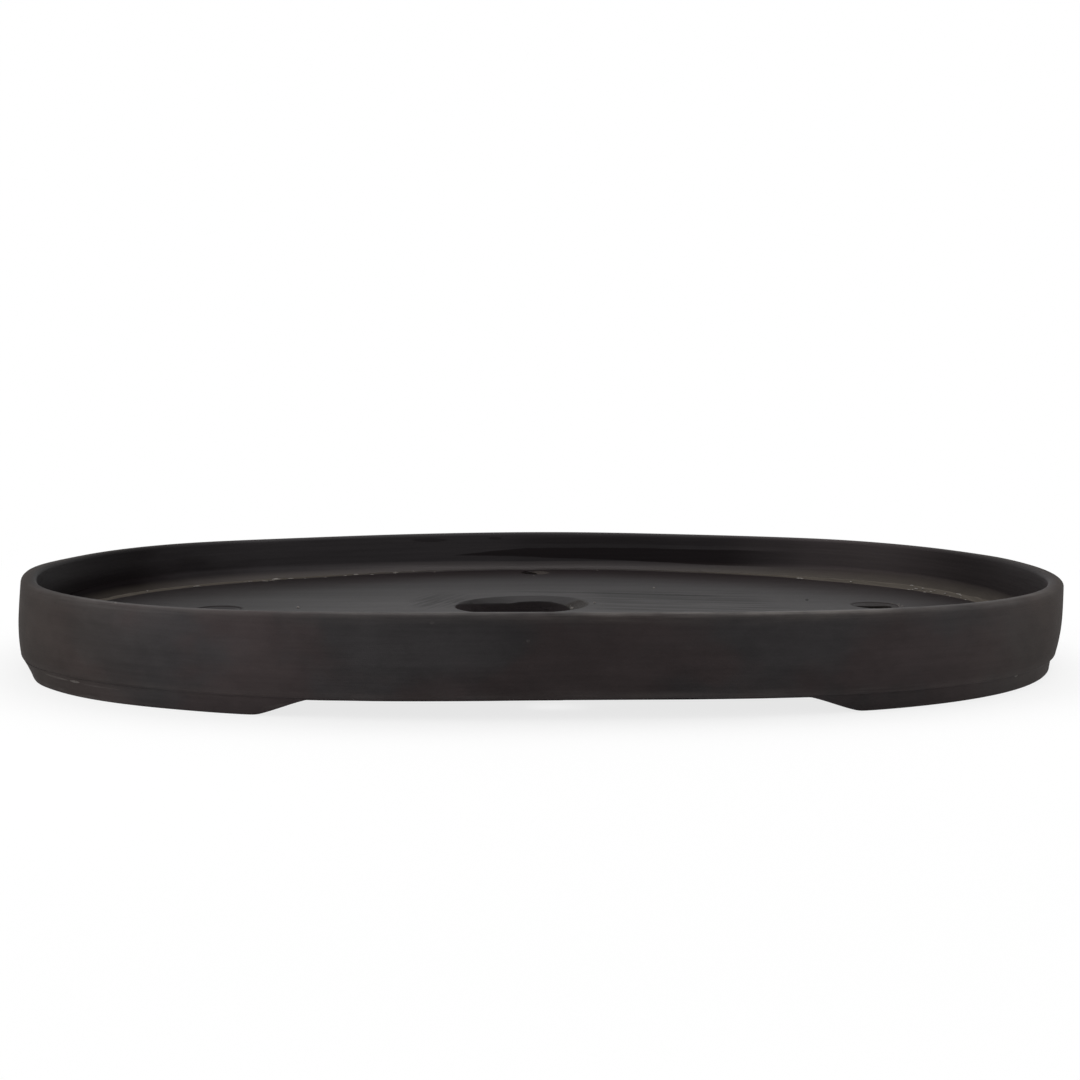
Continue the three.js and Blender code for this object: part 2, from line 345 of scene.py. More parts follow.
def make_piece(name, points, face_sets, attributes, materials, material_index=None):
    """A smooth mesh object from arrays of points and faces, with its faces turned outwards."""
    points = points.reshape(-1, 3).copy()
    points += kiln_warp(bpy.context.scene.bonsai_pot, points)
    if sum(volume(points, faces) for faces in face_sets) < 0:
        face_sets = [faces[:, ::-1] for faces in face_sets]
    sides = np.concatenate([np.full(len(faces), faces.shape[1]) for faces in face_sets])
    mesh = bpy.data.meshes.new(name)
    mesh.vertices.add(len(points))
    mesh.vertices.foreach_set("co", points.astype(np.float32).ravel())
    mesh.loops.add(int(sides.sum()))
    mesh.loops.foreach_set("vertex_index", np.concatenate([f.ravel() for f in face_sets]).astype(np.int32))
    mesh.polygons.add(len(sides))
    mesh.polygons.foreach_set("loop_start", (np.cumsum(sides) - sides).astype(np.int32))
    if material_index is not None:
        mesh.polygons.foreach_set("material_index", material_index.astype(np.int32))
    mesh.update(calc_edges=True)
    mesh.validate()
    mesh.shade_smooth()
    for label, values in attributes.items():
        kind, field = ("FLOAT_VECTOR", "vector") if label == "path" else ("FLOAT", "value")
        mesh.attributes.new(label, kind, "POINT").data.foreach_set(field, values.astype(np.float32).ravel())
    for material in materials:
        mesh.materials.append(material)
    piece = bpy.data.objects.new(name, mesh)
    bpy.context.scene.collection.objects.link(piece)
    return piece


def seat(piece, node):
    """The piece rides on the pot and stands for its CAD node, which is hidden."""
    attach(piece, "root")
    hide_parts(node)


class Value:
    """A node's output that takes part in sums, so that shader maths is written as Python expressions."""

    def __init__(self, graph, socket):
        self.graph = graph
        self.socket = socket

    def math(self, operation, first, second=0.0):
        return self.graph.node("Math", {"operation": operation}, {0: first, 1: second})

    def __add__(self, other):
        return self.math("ADD", self, other)

    def __radd__(self, other):
        return self.math("ADD", other, self)

    def __sub__(self, other):
        return self.math("SUBTRACT", self, other)

    def __rsub__(self, other):
        return self.math("SUBTRACT", other, self)

    def __mul__(self, other):
        return self.math("MULTIPLY", self, other)

    def __rmul__(self, other):
        return self.math("MULTIPLY", other, self)

    def __abs__(self):
        return self.math("ABSOLUTE", self)


class Graph:
    """A node tree that is written from nothing, with node() for any node."""

    def __init__(self, tree):
        self.tree = tree
        tree.nodes.clear()

    def node(self, kind, settings=None, inputs=None, output=0):
        """One node of a type: its settings come first, then the values or links of its sockets."""
        made = self.tree.nodes.new("ShaderNode" + kind)
        for key, value in (settings or {}).items():
            setattr(made, key, value)
        for key, value in (inputs or {}).items():
            if isinstance(value, Value):
                self.tree.links.new(value.socket, made.inputs[key])
            else:
                made.inputs[key].default_value = value
        return Value(self, made.outputs[output]) if len(made.outputs) else None

    def place(self, scale=(1, 1, 1), turn=(0, 0, 0)):
        """Object coordinates in metres, turned and then stretched along each axis."""
        coordinates = self.node("TexCoord", output="Object")
        turned = self.node("Mapping", inputs={"Vector": coordinates, "Rotation": turn})
        return self.node("Mapping", inputs={"Vector": turned, "Scale": scale})

    def axis(self, name):
        """How far along X, Y or Z of the object a point lies, in metres."""
        return self.node("SeparateXYZ", inputs={0: self.node("TexCoord", output="Object")}, output=name)

    def follow(self, name, scale=(1, 1, 1)):
        """A vector attribute of the mesh, stretched along each axis."""
        path = self.node("Attribute", {"attribute_name": name}, output="Vector")
        return self.node("Mapping", inputs={"Vector": path, "Scale": scale})

    def mask(self, name):
        """A number attribute of the mesh."""
        return self.node("Attribute", {"attribute_name": name}, output="Fac")

    def noise(self, vector, scale, detail=3.0, roughness=0.55, distortion=0.0):
        """Fractal noise from 0 to 1 about a half."""
        values = {"Vector": vector, "Scale": scale, "Detail": detail}
        values.update({"Roughness": roughness, "Distortion": distortion})
        return self.node("TexNoise", inputs=values)

    def step(self, value, low, high):
        """A soft step from 0 where the value is low to 1 where it is high."""
        values = {"Value": value, "From Min": low, "From Max": high}
        return self.node("MapRange", {"interpolation_type": "SMOOTHSTEP"}, values)

    def ramp(self, value, low, high):
        """A straight rise from 0 where the value is low to 1 where it is high."""
        return self.node("MapRange", inputs={"Value": value, "From Min": low, "From Max": high})

    def between(self, value, low, high, soft):
        """1 where the value is between two bounds, with soft edges outside them."""
        return self.step(value, low - soft, low) * (1 - self.step(value, high, high + soft))

    def dab(self, across, up, centre_across, centre_up, half_length, half_height):
        """A soft dab: 1 in its middle, 0 outside an ellipse round it."""
        across, up = (across - centre_across) * (1 / half_length), (up - centre_up) * (1 / half_height)
        return 1 - self.step(across * across + up * up, 0.6, 1.1)

    def mix(self, factor, first, second):
        """A colour between two others."""
        first, second = (c if isinstance(c, Value) else (*c, 1.0) for c in (first, second))
        return self.node("Mix", {"data_type": "RGBA"}, {0: factor, 6: first, 7: second}, output=2)

    def shade(self, colour, factor):
        """A colour made darker or lighter by a factor."""
        colour = colour if isinstance(colour, Value) else (*colour, 1.0)
        grey = self.node("CombineColor", inputs={0: factor, 1: factor, 2: factor})
        settings = {"data_type": "RGBA", "blend_type": "MULTIPLY"}
        return self.node("Mix", settings, {0: 1.0, 6: colour, 7: grey}, output=2)

    def specks(self, vector, scale, size, share_kept):
        """Round specks in some cells of a scattered pattern: 1 inside a speck, 0 outside it."""
        near = self.node("TexVoronoi", inputs={"Vector": vector, "Scale": scale})
        pick = self.node("TexVoronoi", inputs={"Vector": vector, "Scale": scale}, output="Color")
        chance = self.node("SeparateColor", inputs={0: pick})
        kept = self.step(chance, 1 - share_kept, 1 - share_kept + 0.02)
        return (1 - self.step(near, size * 0.6, size)) * kept

    def bump(self, height, distance, normal=None):
        """A bump whose height runs from 0 to 1 over a distance in metres."""
        values = {"Height": height, "Distance": distance, "Strength": 1.0}
        if normal is not None:
            values["Normal"] = normal
        return self.node("Bump", inputs=values)

    def clay(self, colour, roughness, relief, specular, coat=None):
        """The finished surface of a clay. A coat is given as its weight and its roughness."""
        values = {"Base Color": colour, "Roughness": roughness, "Normal": relief}
        values["Specular IOR Level"] = specular
        if coat is not None:
            values["Coat Weight"], values["Coat Roughness"] = coat
        self.finish(self.node("BsdfPrincipled", inputs=values))

    def finish(self, shader):
        """The material's output."""
        self.node("OutputMaterial", inputs={"Surface": shader})


def new_graph(name):
    """A material and its empty graph."""
    material = bpy.data.materials.new(name)
    material.use_nodes = True
    return material, Graph(material.node_tree)


def burnt_smears(graph):
    """Dark smears on the back inner face: a long wedge over the cove, a band under the rim and two dabs."""
    wander = graph.noise(graph.place((6, 6, 60)), 1.0, 4.0, 0.65) - 0.5
    fine = graph.noise(graph.place((22, 22, 420)), 1.0, 3.0, 0.6) - 0.5
    x = graph.axis("X") + wander * 0.02
    z = graph.axis("Z") + wander * 0.003 + fine * 0.0016
    behind = graph.step(graph.axis("Y"), 0.0, 0.05)
    opening = graph.ramp(x, -0.06, -0.005)
    top = 0.0345 + opening * 0.0052
    bottom = 0.0342 - graph.ramp(x, -0.06, 0.03) * 0.0028 - graph.ramp(x, 0.03, 0.14) * 0.0036
    along = graph.step(x, -0.062, -0.05) * (1 - graph.step(x, 0.145, 0.205))
    wedge = graph.step(z - bottom, 0.0, 0.0006) * (1 - graph.step(z - top, -0.0006, 0.0002)) * along
    run = graph.step(x, -0.03, 0.02) * (1 - graph.step(x, 0.12, 0.22))
    band = graph.step(z, 0.0418, 0.043) * (1 - graph.step(z, 0.0465, 0.049)) * run
    dabs = graph.dab(x, z, -0.077, 0.0462, 0.015, 0.0016) + graph.dab(x, z, -0.028, 0.0468, 0.005, 0.0012)
    return (wedge + band * 0.45 + dabs * 0.6) * behind


def left_shade(graph):
    """Where the inner face's left end is painted in shade: 1 at the pot's left end, 0 past a ragged edge."""
    ragged = graph.noise(graph.place((1, 1, 4)), 13.0, 4.0, 0.6)
    return 1 - graph.step(graph.axis("X") + ragged * 0.08, -0.237, -0.158)


def brushed_strokes(graph):
    """Broad strokes along the smoothed clay of the inner face and the cove."""
    return graph.noise(graph.follow("path", (9, 9, 300)), 1.0, 4.0, 0.65)


def inner_clay(graph, tints, tone, shade_level):
    """The inner face's colour: redder to the right, with painted light and painted shade in bands along it and
    painted shade at the right end, and painted shade at the left end in the smear tint. The shade_level
    argument sets how light that painted shade at the left end stays."""
    x = graph.axis("X")
    clay = graph.mix(graph.step(x, 0.1, 0.26) * 0.8, tints.inside, tints.warm)
    # Painted light and painted shade: lighter and darker bands along X, and painted shade at the right end.
    right = graph.between(x, 0.17, 0.25, 0.03) * 0.24 - graph.step(x, 0.22, 0.285) * 0.3
    right = right + graph.between(x, 0.21, 0.268, 0.02) * 0.16 - graph.step(x, 0.272, 0.287) * 0.14
    tone = tone * (1 + right - graph.between(x, 0.0, 0.09, 0.03) * 0.14)
    # Painted shade at the left end, deepest at the very end.
    shade_level = tone * shade_level * (0.62 + graph.step(x, -0.285, -0.235) * 0.38)
    return graph.mix(left_shade(graph), graph.shade(clay, tone), graph.shade(tints.smear_and_shade, shade_level))


def fired_body(graph, tints, low):
    """The outside of wall and feet: neutral and redder patches, warmer round both ends, cloudy and brushed
    level, with painted light in bands either side of the middle, painted shade round both ends and a little
    painted shade towards the base. It returns the colour, the fine streaks and the grain."""
    cloud = graph.noise(graph.place((1, 1, 1.4)), 8.0, 4.0, 0.6)
    patch = graph.noise(graph.place((1, 1, 1.6)), 26.0, 4.0, 0.6)
    hue = graph.noise(graph.place((1, 1, 1.3)), 17.0, 3.0, 0.5)
    brushed = graph.noise(graph.follow("path", (13, 13, 210)), 1.0, 3.0, 0.6)
    streak = graph.noise(graph.follow("path", (26, 26, 620)), 1.0, 3.0, 0.6)
    grain = graph.noise(graph.place(), 1500.0, 2.0, 0.7)
    colour = graph.mix(graph.step(hue + low * 0.08, 0.44, 0.62), tints.body, tints.warm)
    away = abs(graph.axis("X"))
    colour = graph.mix(graph.step(away, 0.17, 0.3), colour, tints.ends)
    tone = 0.54 + graph.step(cloud, 0.35, 0.65) * 0.18 + graph.step(patch, 0.36, 0.64) * 0.2
    # A little painted shade towards the base of the outside.
    tone = tone + (brushed * 0.28 + streak * 0.24 + grain * 0.14) - low * 0.06
    x = graph.axis("X")
    # Painted light and shade: lighter bands either side of the middle, a darker one just right of it, and
    # darker round both ends.
    painted_flank_light = graph.between(x, -0.2, -0.07, 0.05) * 0.34 + graph.between(x, 0.08, 0.13, 0.03) * 0.13
    painted_flank_light = painted_flank_light - graph.between(x, 0.01, 0.07, 0.03) * 0.09
    tone = tone * (1 + painted_flank_light - graph.step(away, 0.225, 0.285) * 0.32)
    return graph.shade(colour, tone), streak, grain


def front_marks(graph, marks):
    """Small pale marks on the front. Each is given by its place along X and Z and by its half length and
    half height, in millimetres."""
    x, z = graph.axis("X"), graph.axis("Z")
    found = 0.0
    for mark in marks:
        found = found + graph.dab(x, z, *(value * MM for value in mark))
    return found * (1 - graph.step(graph.axis("Y"), -0.05, 0.0))


def wall_clay(tints):
    """Matt clay outside, with arrises paler from wear, a painted highlight along the front of the rim, and
    grit, and a smoothed, smeared inner face whose left end is painted in shade.
    """
    material, graph = new_graph("wall_clay_finish")
    inside, worn, low = graph.mask("inside"), graph.mask("worn"), graph.mask("low")
    outer, streak, grain = fired_body(graph, tints, low)
    patch = graph.noise(graph.place((1, 1, 2.2)), 30.0, 3.0, 0.6)
    grit = graph.specks(graph.place(), 62.0, 0.04, 0.12)
    x = graph.axis("X")
    ends = graph.step(abs(x), 0.2, 0.29)
    # Paler arrises: real wear, plus a painted highlight along the front of the rim, made stronger or weaker
    # along X and fainter at the ends.
    rubbing_and_highlight = worn * graph.step(patch * 0.6 + streak * 0.5, 0.3, 0.8) * (1 - ends * 0.6)
    highlight_strength = graph.between(x, 0.1, 0.15, 0.03) * 0.6 + graph.between(x, 0.0, 0.05, 0.03) * 0.5
    highlight_strength = highlight_strength - (1 - graph.step(x, -0.12, -0.05)) * 0.25 - graph.step(x, 0.15, 0.2) * 0.35
    rubbing_and_highlight = rubbing_and_highlight * (1 + highlight_strength - graph.between(x, -0.06, -0.02, 0.03) * 0.2)
    outer = graph.mix(rubbing_and_highlight, outer, tints.rubbed_and_highlight)
    marks = front_marks(graph, ((-59, 45.7, 1.1, 0.7), (-16, 37.6, 0.9, 0.8)))
    outer = graph.mix(marks * grain * 0.11, outer, tints.grit)
    brushed = brushed_strokes(graph)
    smears = burnt_smears(graph)
    inner = inner_clay(graph, tints, 0.62 + (brushed * 0.5 + streak * 0.26), 0.85)
    inner = graph.mix(smears * 0.74, inner, graph.shade(tints.smear_and_shade, 0.8 + streak * 0.4))
    colour = graph.mix(grit, graph.mix(inside, outer, inner), tints.grit)
    # Where the smears or the painted shade at the left end lie, the inner face loses its sheen.
    smear_and_shade = smears + left_shade(graph) * (1 - smears)
    sheen = rubbing_and_highlight * 0.24 + inside * brushed * 0.07 * (1 - smear_and_shade)
    roughness = 0.7 + streak * 0.1 - inside * 0.2
    relief = graph.bump(grain, 0.00006, graph.bump(streak, 0.00012))
    graph.clay(colour, roughness, relief, 0.05, (sheen, 0.35))
    return material


def wipes(graph):
    """Soft grooves that a finger left on the floor: one long dark wipe behind the middle drain, a patch of
    level ones to its right and short slanting strokes to its left."""
    x, y = graph.axis("X"), graph.axis("Y")
    wander = (graph.noise(graph.place((14, 14, 1)), 1.0, 3.0, 0.5) - 0.5) * 0.006
    slope, wipe_y = 0.148, 0.0645
    off = abs(y + (x + 0.002) * slope - wipe_y + wander)
    groove = (1 - graph.step(off, 0.0008, 0.004)) * graph.between(x, 0.0, 0.1, 0.03)
    level = graph.noise(graph.place((7, 130, 1), (0, 0, 0.147)), 1.0, 3.0, 0.55, 0.2)
    level_patch = graph.between(x, 0.05, 0.13, 0.03) * graph.between(y, -0.01, 0.06, 0.02)
    strokes = graph.noise(graph.place((18, 300, 1), (0, 0, -1.17)), 1.0, 4.0, 0.6, 0.5)
    loose = graph.noise(graph.place((40, 40, 1)), 1.0, 2.0, 0.5)
    away_x, away_y = (x + 0.063) * (1 / 0.024), (y - 0.028) * (1 / 0.042)
    stroke_patch = 1 - graph.step(away_x * away_x + away_y * away_y + (loose - 0.5) * 1.2, 0.0, 1.1)
    lines = graph.step(level, 0.4, 0.58) * level_patch + graph.step(strokes, 0.4, 0.62) * stroke_patch * 1.2
    return groove * 0.9 + lines


def floor_clay(tints):
    """Smoothed clay with an uneven sheen, wiped lengthwise, with pinholes, grit and torn drain walls, painted
    shade and less sheen round its border and at its left, and painted light on a patch at the front and in the
    back wire hole.
    """
    material, graph = new_graph("floor_clay_finish")
    cut, shaft = graph.mask("cut"), graph.mask("shaft")
    cloud = graph.noise(graph.place((0.6, 1, 1)), 14.0, 4.0, 0.6)
    broad = graph.noise(graph.place((5, 90, 20), (0, 0, 0.05)), 1.0, 3.0, 0.55, 0.2)
    streak = graph.noise(graph.place((9, 330, 40), (0, 0, 0.02)), 1.0, 4.0, 0.6, 0.3)
    grain = graph.noise(graph.place(), 1500.0, 2.0, 0.7)
    torn = graph.noise(graph.place(), 420.0, 5.0, 0.7)
    grit = graph.specks(graph.place((1, 1, 0.2)), 38.0, 0.03, 0.12)
    x, y = graph.axis("X"), graph.axis("Y")
    pit = graph.dab(x - y * 0.266, y, 0.1638, 0.0316, 0.0012, 0.005)
    pits = graph.specks(graph.place((1, 1, 0.2)), 31.0, 0.03, 0.08) + pit
    wiped = wipes(graph) * (1 - shaft)
    half_length, half_width = 0.279, 0.187
    across, along = x * (1 / half_length), y * (1 / half_width)
    away = across * across + along * along * (1 + across * across * 2)
    # Painted shade near the wall: the floor's border is darker and has less sheen, with a redder hue.
    border = graph.step(away + (cloud - 0.5) * 0.16, 0.42, 0.98)
    # Painted light on a patch at the front, left of the middle drain, and painted shade over the floor's left
    # part.
    near = graph.between(x, -0.13, -0.06, 0.05) * (1 - graph.step(y, 0.0, 0.06))
    dim = (1 - border * 0.45) * (1 - (1 - graph.step(x, -0.2, -0.06)) * 0.27) * (1 + near * 0.16)
    tone = (0.56 + (broad * 0.42 + streak * 0.3 + cloud * 0.2) - wiped * 0.42) * dim
    colour = graph.shade(graph.mix(border, tints.floor, tints.border), tone)
    colour = graph.mix(shaft, colour, tints.deep)
    # Painted light: the torn clay is paler towards the back, where the back wire hole's far wall is lit.
    back_hole_light = graph.step(y, 0.08, 0.14)
    colour = graph.mix(cut, colour, graph.shade(tints.cut, (0.6 + torn * 0.8) * (1 + back_hole_light * 1.1)))
    colour = graph.mix(grit, colour, tints.grit)
    shadowed = 0.004, 0.0035, 0.0035
    colour = graph.mix(pits, colour, shadowed)
    sheen = 0.1 + (broad - 0.5) * 0.1 + (streak - 0.5) * 0.08 + (cloud - 0.5) * 0.05 - wiped * 0.06
    sheen = sheen * dim * (1 - shaft) * (1 - cut) * (1 - pits)
    roughness = 0.5 + streak * 0.1 + shaft * 0.2
    fine = graph.bump(grain * (1 - shaft) * 0.5 + pits * -2.0, 0.00004)
    smoothed = graph.bump(streak * 0.4 + broad * 0.6 - wiped * 0.7, 0.00025, fine)
    relief = graph.bump(torn * cut, 0.0014, smoothed)
    graph.clay(colour, roughness, relief, 0.05, (sheen, 0.3))
    return material


def cove_clay(tints):
    """Clay pushed into the corner: like the inner face at its top, with painted light in its hollow at the
    back where it faces upwards and painted shade half way down the hollow towards both ends, with a soft brown
    margin over the crest and dried slip on the crest and below it."""
    material, graph = new_graph("cove_clay_finish")
    dried, margin = graph.mask("dried"), graph.mask("margin")
    streak = graph.noise(graph.follow("path", (16, 16, 900)), 1.0, 3.0, 0.6)
    broken = graph.noise(graph.follow("path", (60, 60, 260)), 1.0, 4.0, 0.65)
    brushed = brushed_strokes(graph)
    grain = graph.noise(graph.place(), 1300.0, 2.0, 0.7)
    x, low = graph.axis("X"), graph.mask("lower")
    # Painted shade: the hollow is darker half way down, towards both ends.
    ends = graph.step(x, 0.17, 0.25) * 0.8 + (1 - graph.step(x, -0.2, -0.06)) * 1.1
    tone = (0.62 + (brushed * 0.5 + streak * 0.26)) * (1 - low * (1 - low) * ends * 0.9)
    shaded = left_shade(graph)
    faded = graph.step(x, 0.17, 0.25) * 0.8 + (1 - graph.step(x, -0.24, -0.12)) * 0.4
    # Painted light on the lower hollow, faded out towards the ends and where the left end is painted in shade.
    painted_hollow_light = low * (1 - shaded) * (1 - faded)
    clay = graph.mix(painted_hollow_light, inner_clay(graph, tints, tone, 0.95), graph.shade(tints.painted_hollow_light, tone))
    smears = burnt_smears(graph)
    clay = graph.mix(smears * 0.8, clay, graph.shade(tints.smear_and_shade, 0.8 + streak * 0.4))
    clay = graph.mix(margin * 0.75, clay, graph.shade(tints.slip, 0.55 + broken * 0.3))
    slip = graph.step(dried * 0.85 + broken * 0.3, 0.4, 0.95)
    colour = graph.mix(slip, clay, graph.shade(tints.slip, 0.5 + (streak * 0.7 + broken * 0.3)))
    roughness = 0.6 + streak * 0.12 + slip * 0.15
    relief = graph.bump(broken * dried + grain * 0.3, 0.0002, graph.bump(streak, 0.00016))
    sheen = (1 - slip) * (1 - smears) * (0.03 + painted_hollow_light * 0.04)
    graph.clay(colour, roughness, relief, 0.0, (sheen, 0.3))
    return material


def foot_clay(tints):
    """The wall's clay, paler from wear where hands and shelves have touched it."""
    material, graph = new_graph("foot_clay_finish")
    worn = graph.mask("worn")
    patch = graph.noise(graph.follow("path", (30, 30, 260)), 1.0, 4.0, 0.65)
    colour, streak, grain = fired_body(graph, tints, 1.0)
    colour = graph.mix(worn * graph.step(patch, 0.5, 0.72), graph.shade(colour, 0.98), tints.rubbed_and_highlight)
    streaks = front_marks(graph, ((-249, 7.6, 9, 0.5), (-221, 7.2, 12, 0.4)))
    spots = front_marks(graph, ((-236.5, 7.6, 3.2, 0.6), (234, 8.2, 1.4, 0.7)))
    marks = streaks * graph.step(patch, 0.35, 0.65) * 0.16 + spots * graph.step(grain, 0.2, 0.6) * 0.3
    colour = graph.mix(marks, colour, tints.grit)
    relief = graph.bump(grain, 0.00006, graph.bump(streak, 0.00014))
    graph.clay(colour, 0.7 + streak * 0.1, relief, 0.08)
    return material


def crumb_clay(tints):
    """Pale dried crumbs."""
    material, graph = new_graph("crumb_clay_finish")
    grain = graph.noise(graph.place(), 900.0, 3.0, 0.7)
    colour = graph.mix(graph.step(grain, 0.3, 0.6), tints.slip, tints.grit)
    graph.clay(colour, 0.8 + grain * 0.1, graph.bump(grain, 0.0002), 0.3)
    return material


def outer_inset(pot, height):
    """How far the wall's outside is inset at a height over the body's underside: nothing at the belly, more
    by the square of the way to the base or to the rim."""
    body = pot.rim_height - pot.foot_height
    below = pot.base_draw * np.clip(1 - height / pot.belly_rise, 0, 1) ** 2
    above = pot.rim_draw * np.clip((height - pot.belly_rise) / (body - pot.belly_rise), 0, 1) ** 2
    return below + above


def inner_inset(pot, height):
    """How far the wall's inside is inset at a height over the body's underside: a straight line from the
    wider base to the rim."""
    face = pot.rim_height - pot.foot_height - pot.rim_inner_round
    low, high = pot.base_draw + pot.base_width, pot.rim_draw + pot.rim_width
    return low + (high - low) * height / face


def wall_section(pot):
    """The wall's section once round, as insets and heights over the body's underside: round its lower edge,
    up the bellied outside, over the crowned rim, down the inside and back under the base."""
    body = pot.rim_height - pot.foot_height
    rim_centre = body - pot.rim_outer_round
    face_top = body - pot.rim_inner_round
    low_centre = outer_inset(pot, np.array(pot.base_round)) + pot.base_round
    outside = np.linspace(pot.base_round, rim_centre, 42)
    inside = np.linspace(face_top, 0, 26)
    outer_centre = outer_inset(pot, np.array(rim_centre)) + pot.rim_outer_round
    inner_centre = pot.rim_draw + pot.rim_width - pot.rim_inner_round
    parts = (
        arc((low_centre, pot.base_round), pot.base_round, 270, 180, 6),
        np.stack((outer_inset(pot, outside), outside), 1)[1:-1],
        arc((outer_centre, rim_centre), pot.rim_outer_round, 180, 90, 8),
        arc((inner_centre, face_top), pot.rim_inner_round, 90, 0, 7),
        np.stack((inner_inset(pot, inside), inside), 1)[1:],
    )
    section = np.concatenate(parts)
    across = (section[:, 0] - pot.rim_draw) / pot.rim_width
    near_rim = np.clip((section[:, 1] - rim_centre) / pot.rim_outer_round, 0, 1)
    section[:, 1] -= pot.rim_crown * near_rim * np.clip(2 * across - 1, -1, 1) ** 2
    return section


def wall_waver(turn, lift):
    """How far the wall stands inwards of its true oval, at a share of its height: long waves that grow
    towards the rim, and short ones from pressing that are greatest half way up."""
    lean = unevenness(turn, (0.22 * MM, 2, 0.7), (0.14 * MM, 3, 2.4), (0.07 * MM, 7, 4.0))
    press = unevenness(turn, (0.1 * MM, 11, 1.0), (0.08 * MM, 17, 2.0), (0.05 * MM, 29, 0.2))
    return lean[:, None] * lift ** 1.5 + press[:, None] * np.sin(math.pi * lift)


def rim_waver(turn):
    """How far the rim stands over or under its level."""
    return unevenness(turn, (0.16 * MM, 2, 1.9), (0.1 * MM, 5, 0.4), (0.05 * MM, 9, 3.3)) - 0.2 * MM


class BONSAIPOT_OT_side_wall(bpy.types.Operator):
    """Build the oval wall: its section carried round the oval, with a slight hand-made unevenness"""

    bl_idname = "bonsai_pot.side_wall"
    bl_label = "Side Wall"

    def execute(self, context):
        pot, tints = context.scene.bonsai_pot, context.scene.bonsai_clay
        stations = Stations.even(pot, 0, TAU, pot.stations, closed=True)
        section = wall_section(pot)
        body = pot.rim_height - pot.foot_height
        lift = section[:, 1] / body
        inset = np.maximum(section[:, 0] + wall_waver(stations.turn, lift), 0)
        height = pot.foot_height + section[:, 1] + rim_waver(stations.turn)[:, None] * lift ** 3
        points = stations.carry(inset, height)
        reach = section_reach(section)
        rim_middle = reach[section[:, 1] > body - 0.1 * MM].mean()
        inside = smooth(rim_middle - 1 * MM, rim_middle + 4 * MM, reach)
        # Painted highlight: the rim is painted paler mostly towards the front, where its rounded edge catches
        # the light, over its real wear.
        rubbed_and_highlight = smooth(-80 * MM, -150 * MM, stations.place[:, 1])[:, None]
        worn = (0.25 + 0.75 * rubbed_and_highlight) * hump(reach, rim_middle - 1.5 * MM, 4.2 * MM)
        worn = worn + 0.3 * hump(reach, 2.5 * MM, 2.0 * MM)
        # Low is 1 towards the base of the outside: it reddens the clay there and also darkens it a little as
        # painted shade.
        low = (1 - smooth(0.15, 0.55, lift)) * (1 - inside)
        rows, columns = len(stations.turn), len(section)
        spread = {
            "path": clay_path(stations, reach),
            "inside": np.tile(inside, rows),
            "worn": worn,
            "low": np.tile(low, rows),
        }
        faces = quads(numbered(rows, columns), True, True)
        piece = make_piece("oval_wall", points, [faces], spread, [wall_clay(tints)])
        seat(piece, "side_wall")
        return {"FINISHED"}


def clay_path(stations, reach):
    """Where each point lies on the clay: its station's x and y, and how far along the section it is."""
    place = stations.place[:, None, :]
    reach = np.broadcast_to(reach, (len(place), np.shape(reach)[-1]))
    spread = np.broadcast_to(place, (*reach.shape, 2))
    return np.concatenate((spread, reach[..., None]), 2).reshape(-1, 3)


class Drain(NamedTuple):
    """One drain: the middle, half length and half width of its outline on the floor, the widths of the wiped
    bevel at its long sides and at its left and right ends, how far the bevel falls as a share of its width,
    and how pale the wall is, which stands for torn clay and painted light. Some have more: how far back the
    right end is drawn, the height of the sharp step above the bevel, how dark the bevel is as painted shade,
    and how pale its right end is, which is torn clay, or painted light at the back wire hole."""

    x: float
    y: float
    half_length: float
    half_width: float
    side: float
    left: float
    right: float
    fall: float
    pale_wall: float
    skew: float = 0.0
    step: float = 0.0
    shade: float = 0.0
    pale_end: float = 0.0

    def torn(self, turn):
        """How torn the bevel is: near the right end of a long drain, nearly all round a small one, and in
        the right half of a hole with a slanted side."""
        low, high = (0.0, 0.5) if self.right > self.side * 2 else (-0.9, 0.2)
        if self.half_length > self.half_width * 1.1:
            low, high = 0.84, 0.93
        return smooth(low, high, np.cos(turn))

    def outline(self, turn):
        """Its outline on the floor."""
        y = self.y + self.half_width * np.sin(turn) + self.skew * np.cos(turn)
        return np.stack((self.x + self.half_length * np.cos(turn), y), 1)

    def opening(self, turn):
        """Its opening at the foot of the bevel, squarer than the outline and squarest in the right half of
        a drain that is drawn back."""
        x = self.x + (self.left - self.right) / 2
        half_length = self.half_length - (self.left + self.right) / 2
        half_width = self.half_width - self.side
        power = np.where((np.cos(turn) > 0) & (self.skew > 0), 0.74, 0.88)
        along, across = signed_power(np.cos(turn), power), signed_power(np.sin(turn), power)
        return np.stack((x + half_length * along, self.y + half_width * across + self.skew * along), 1)


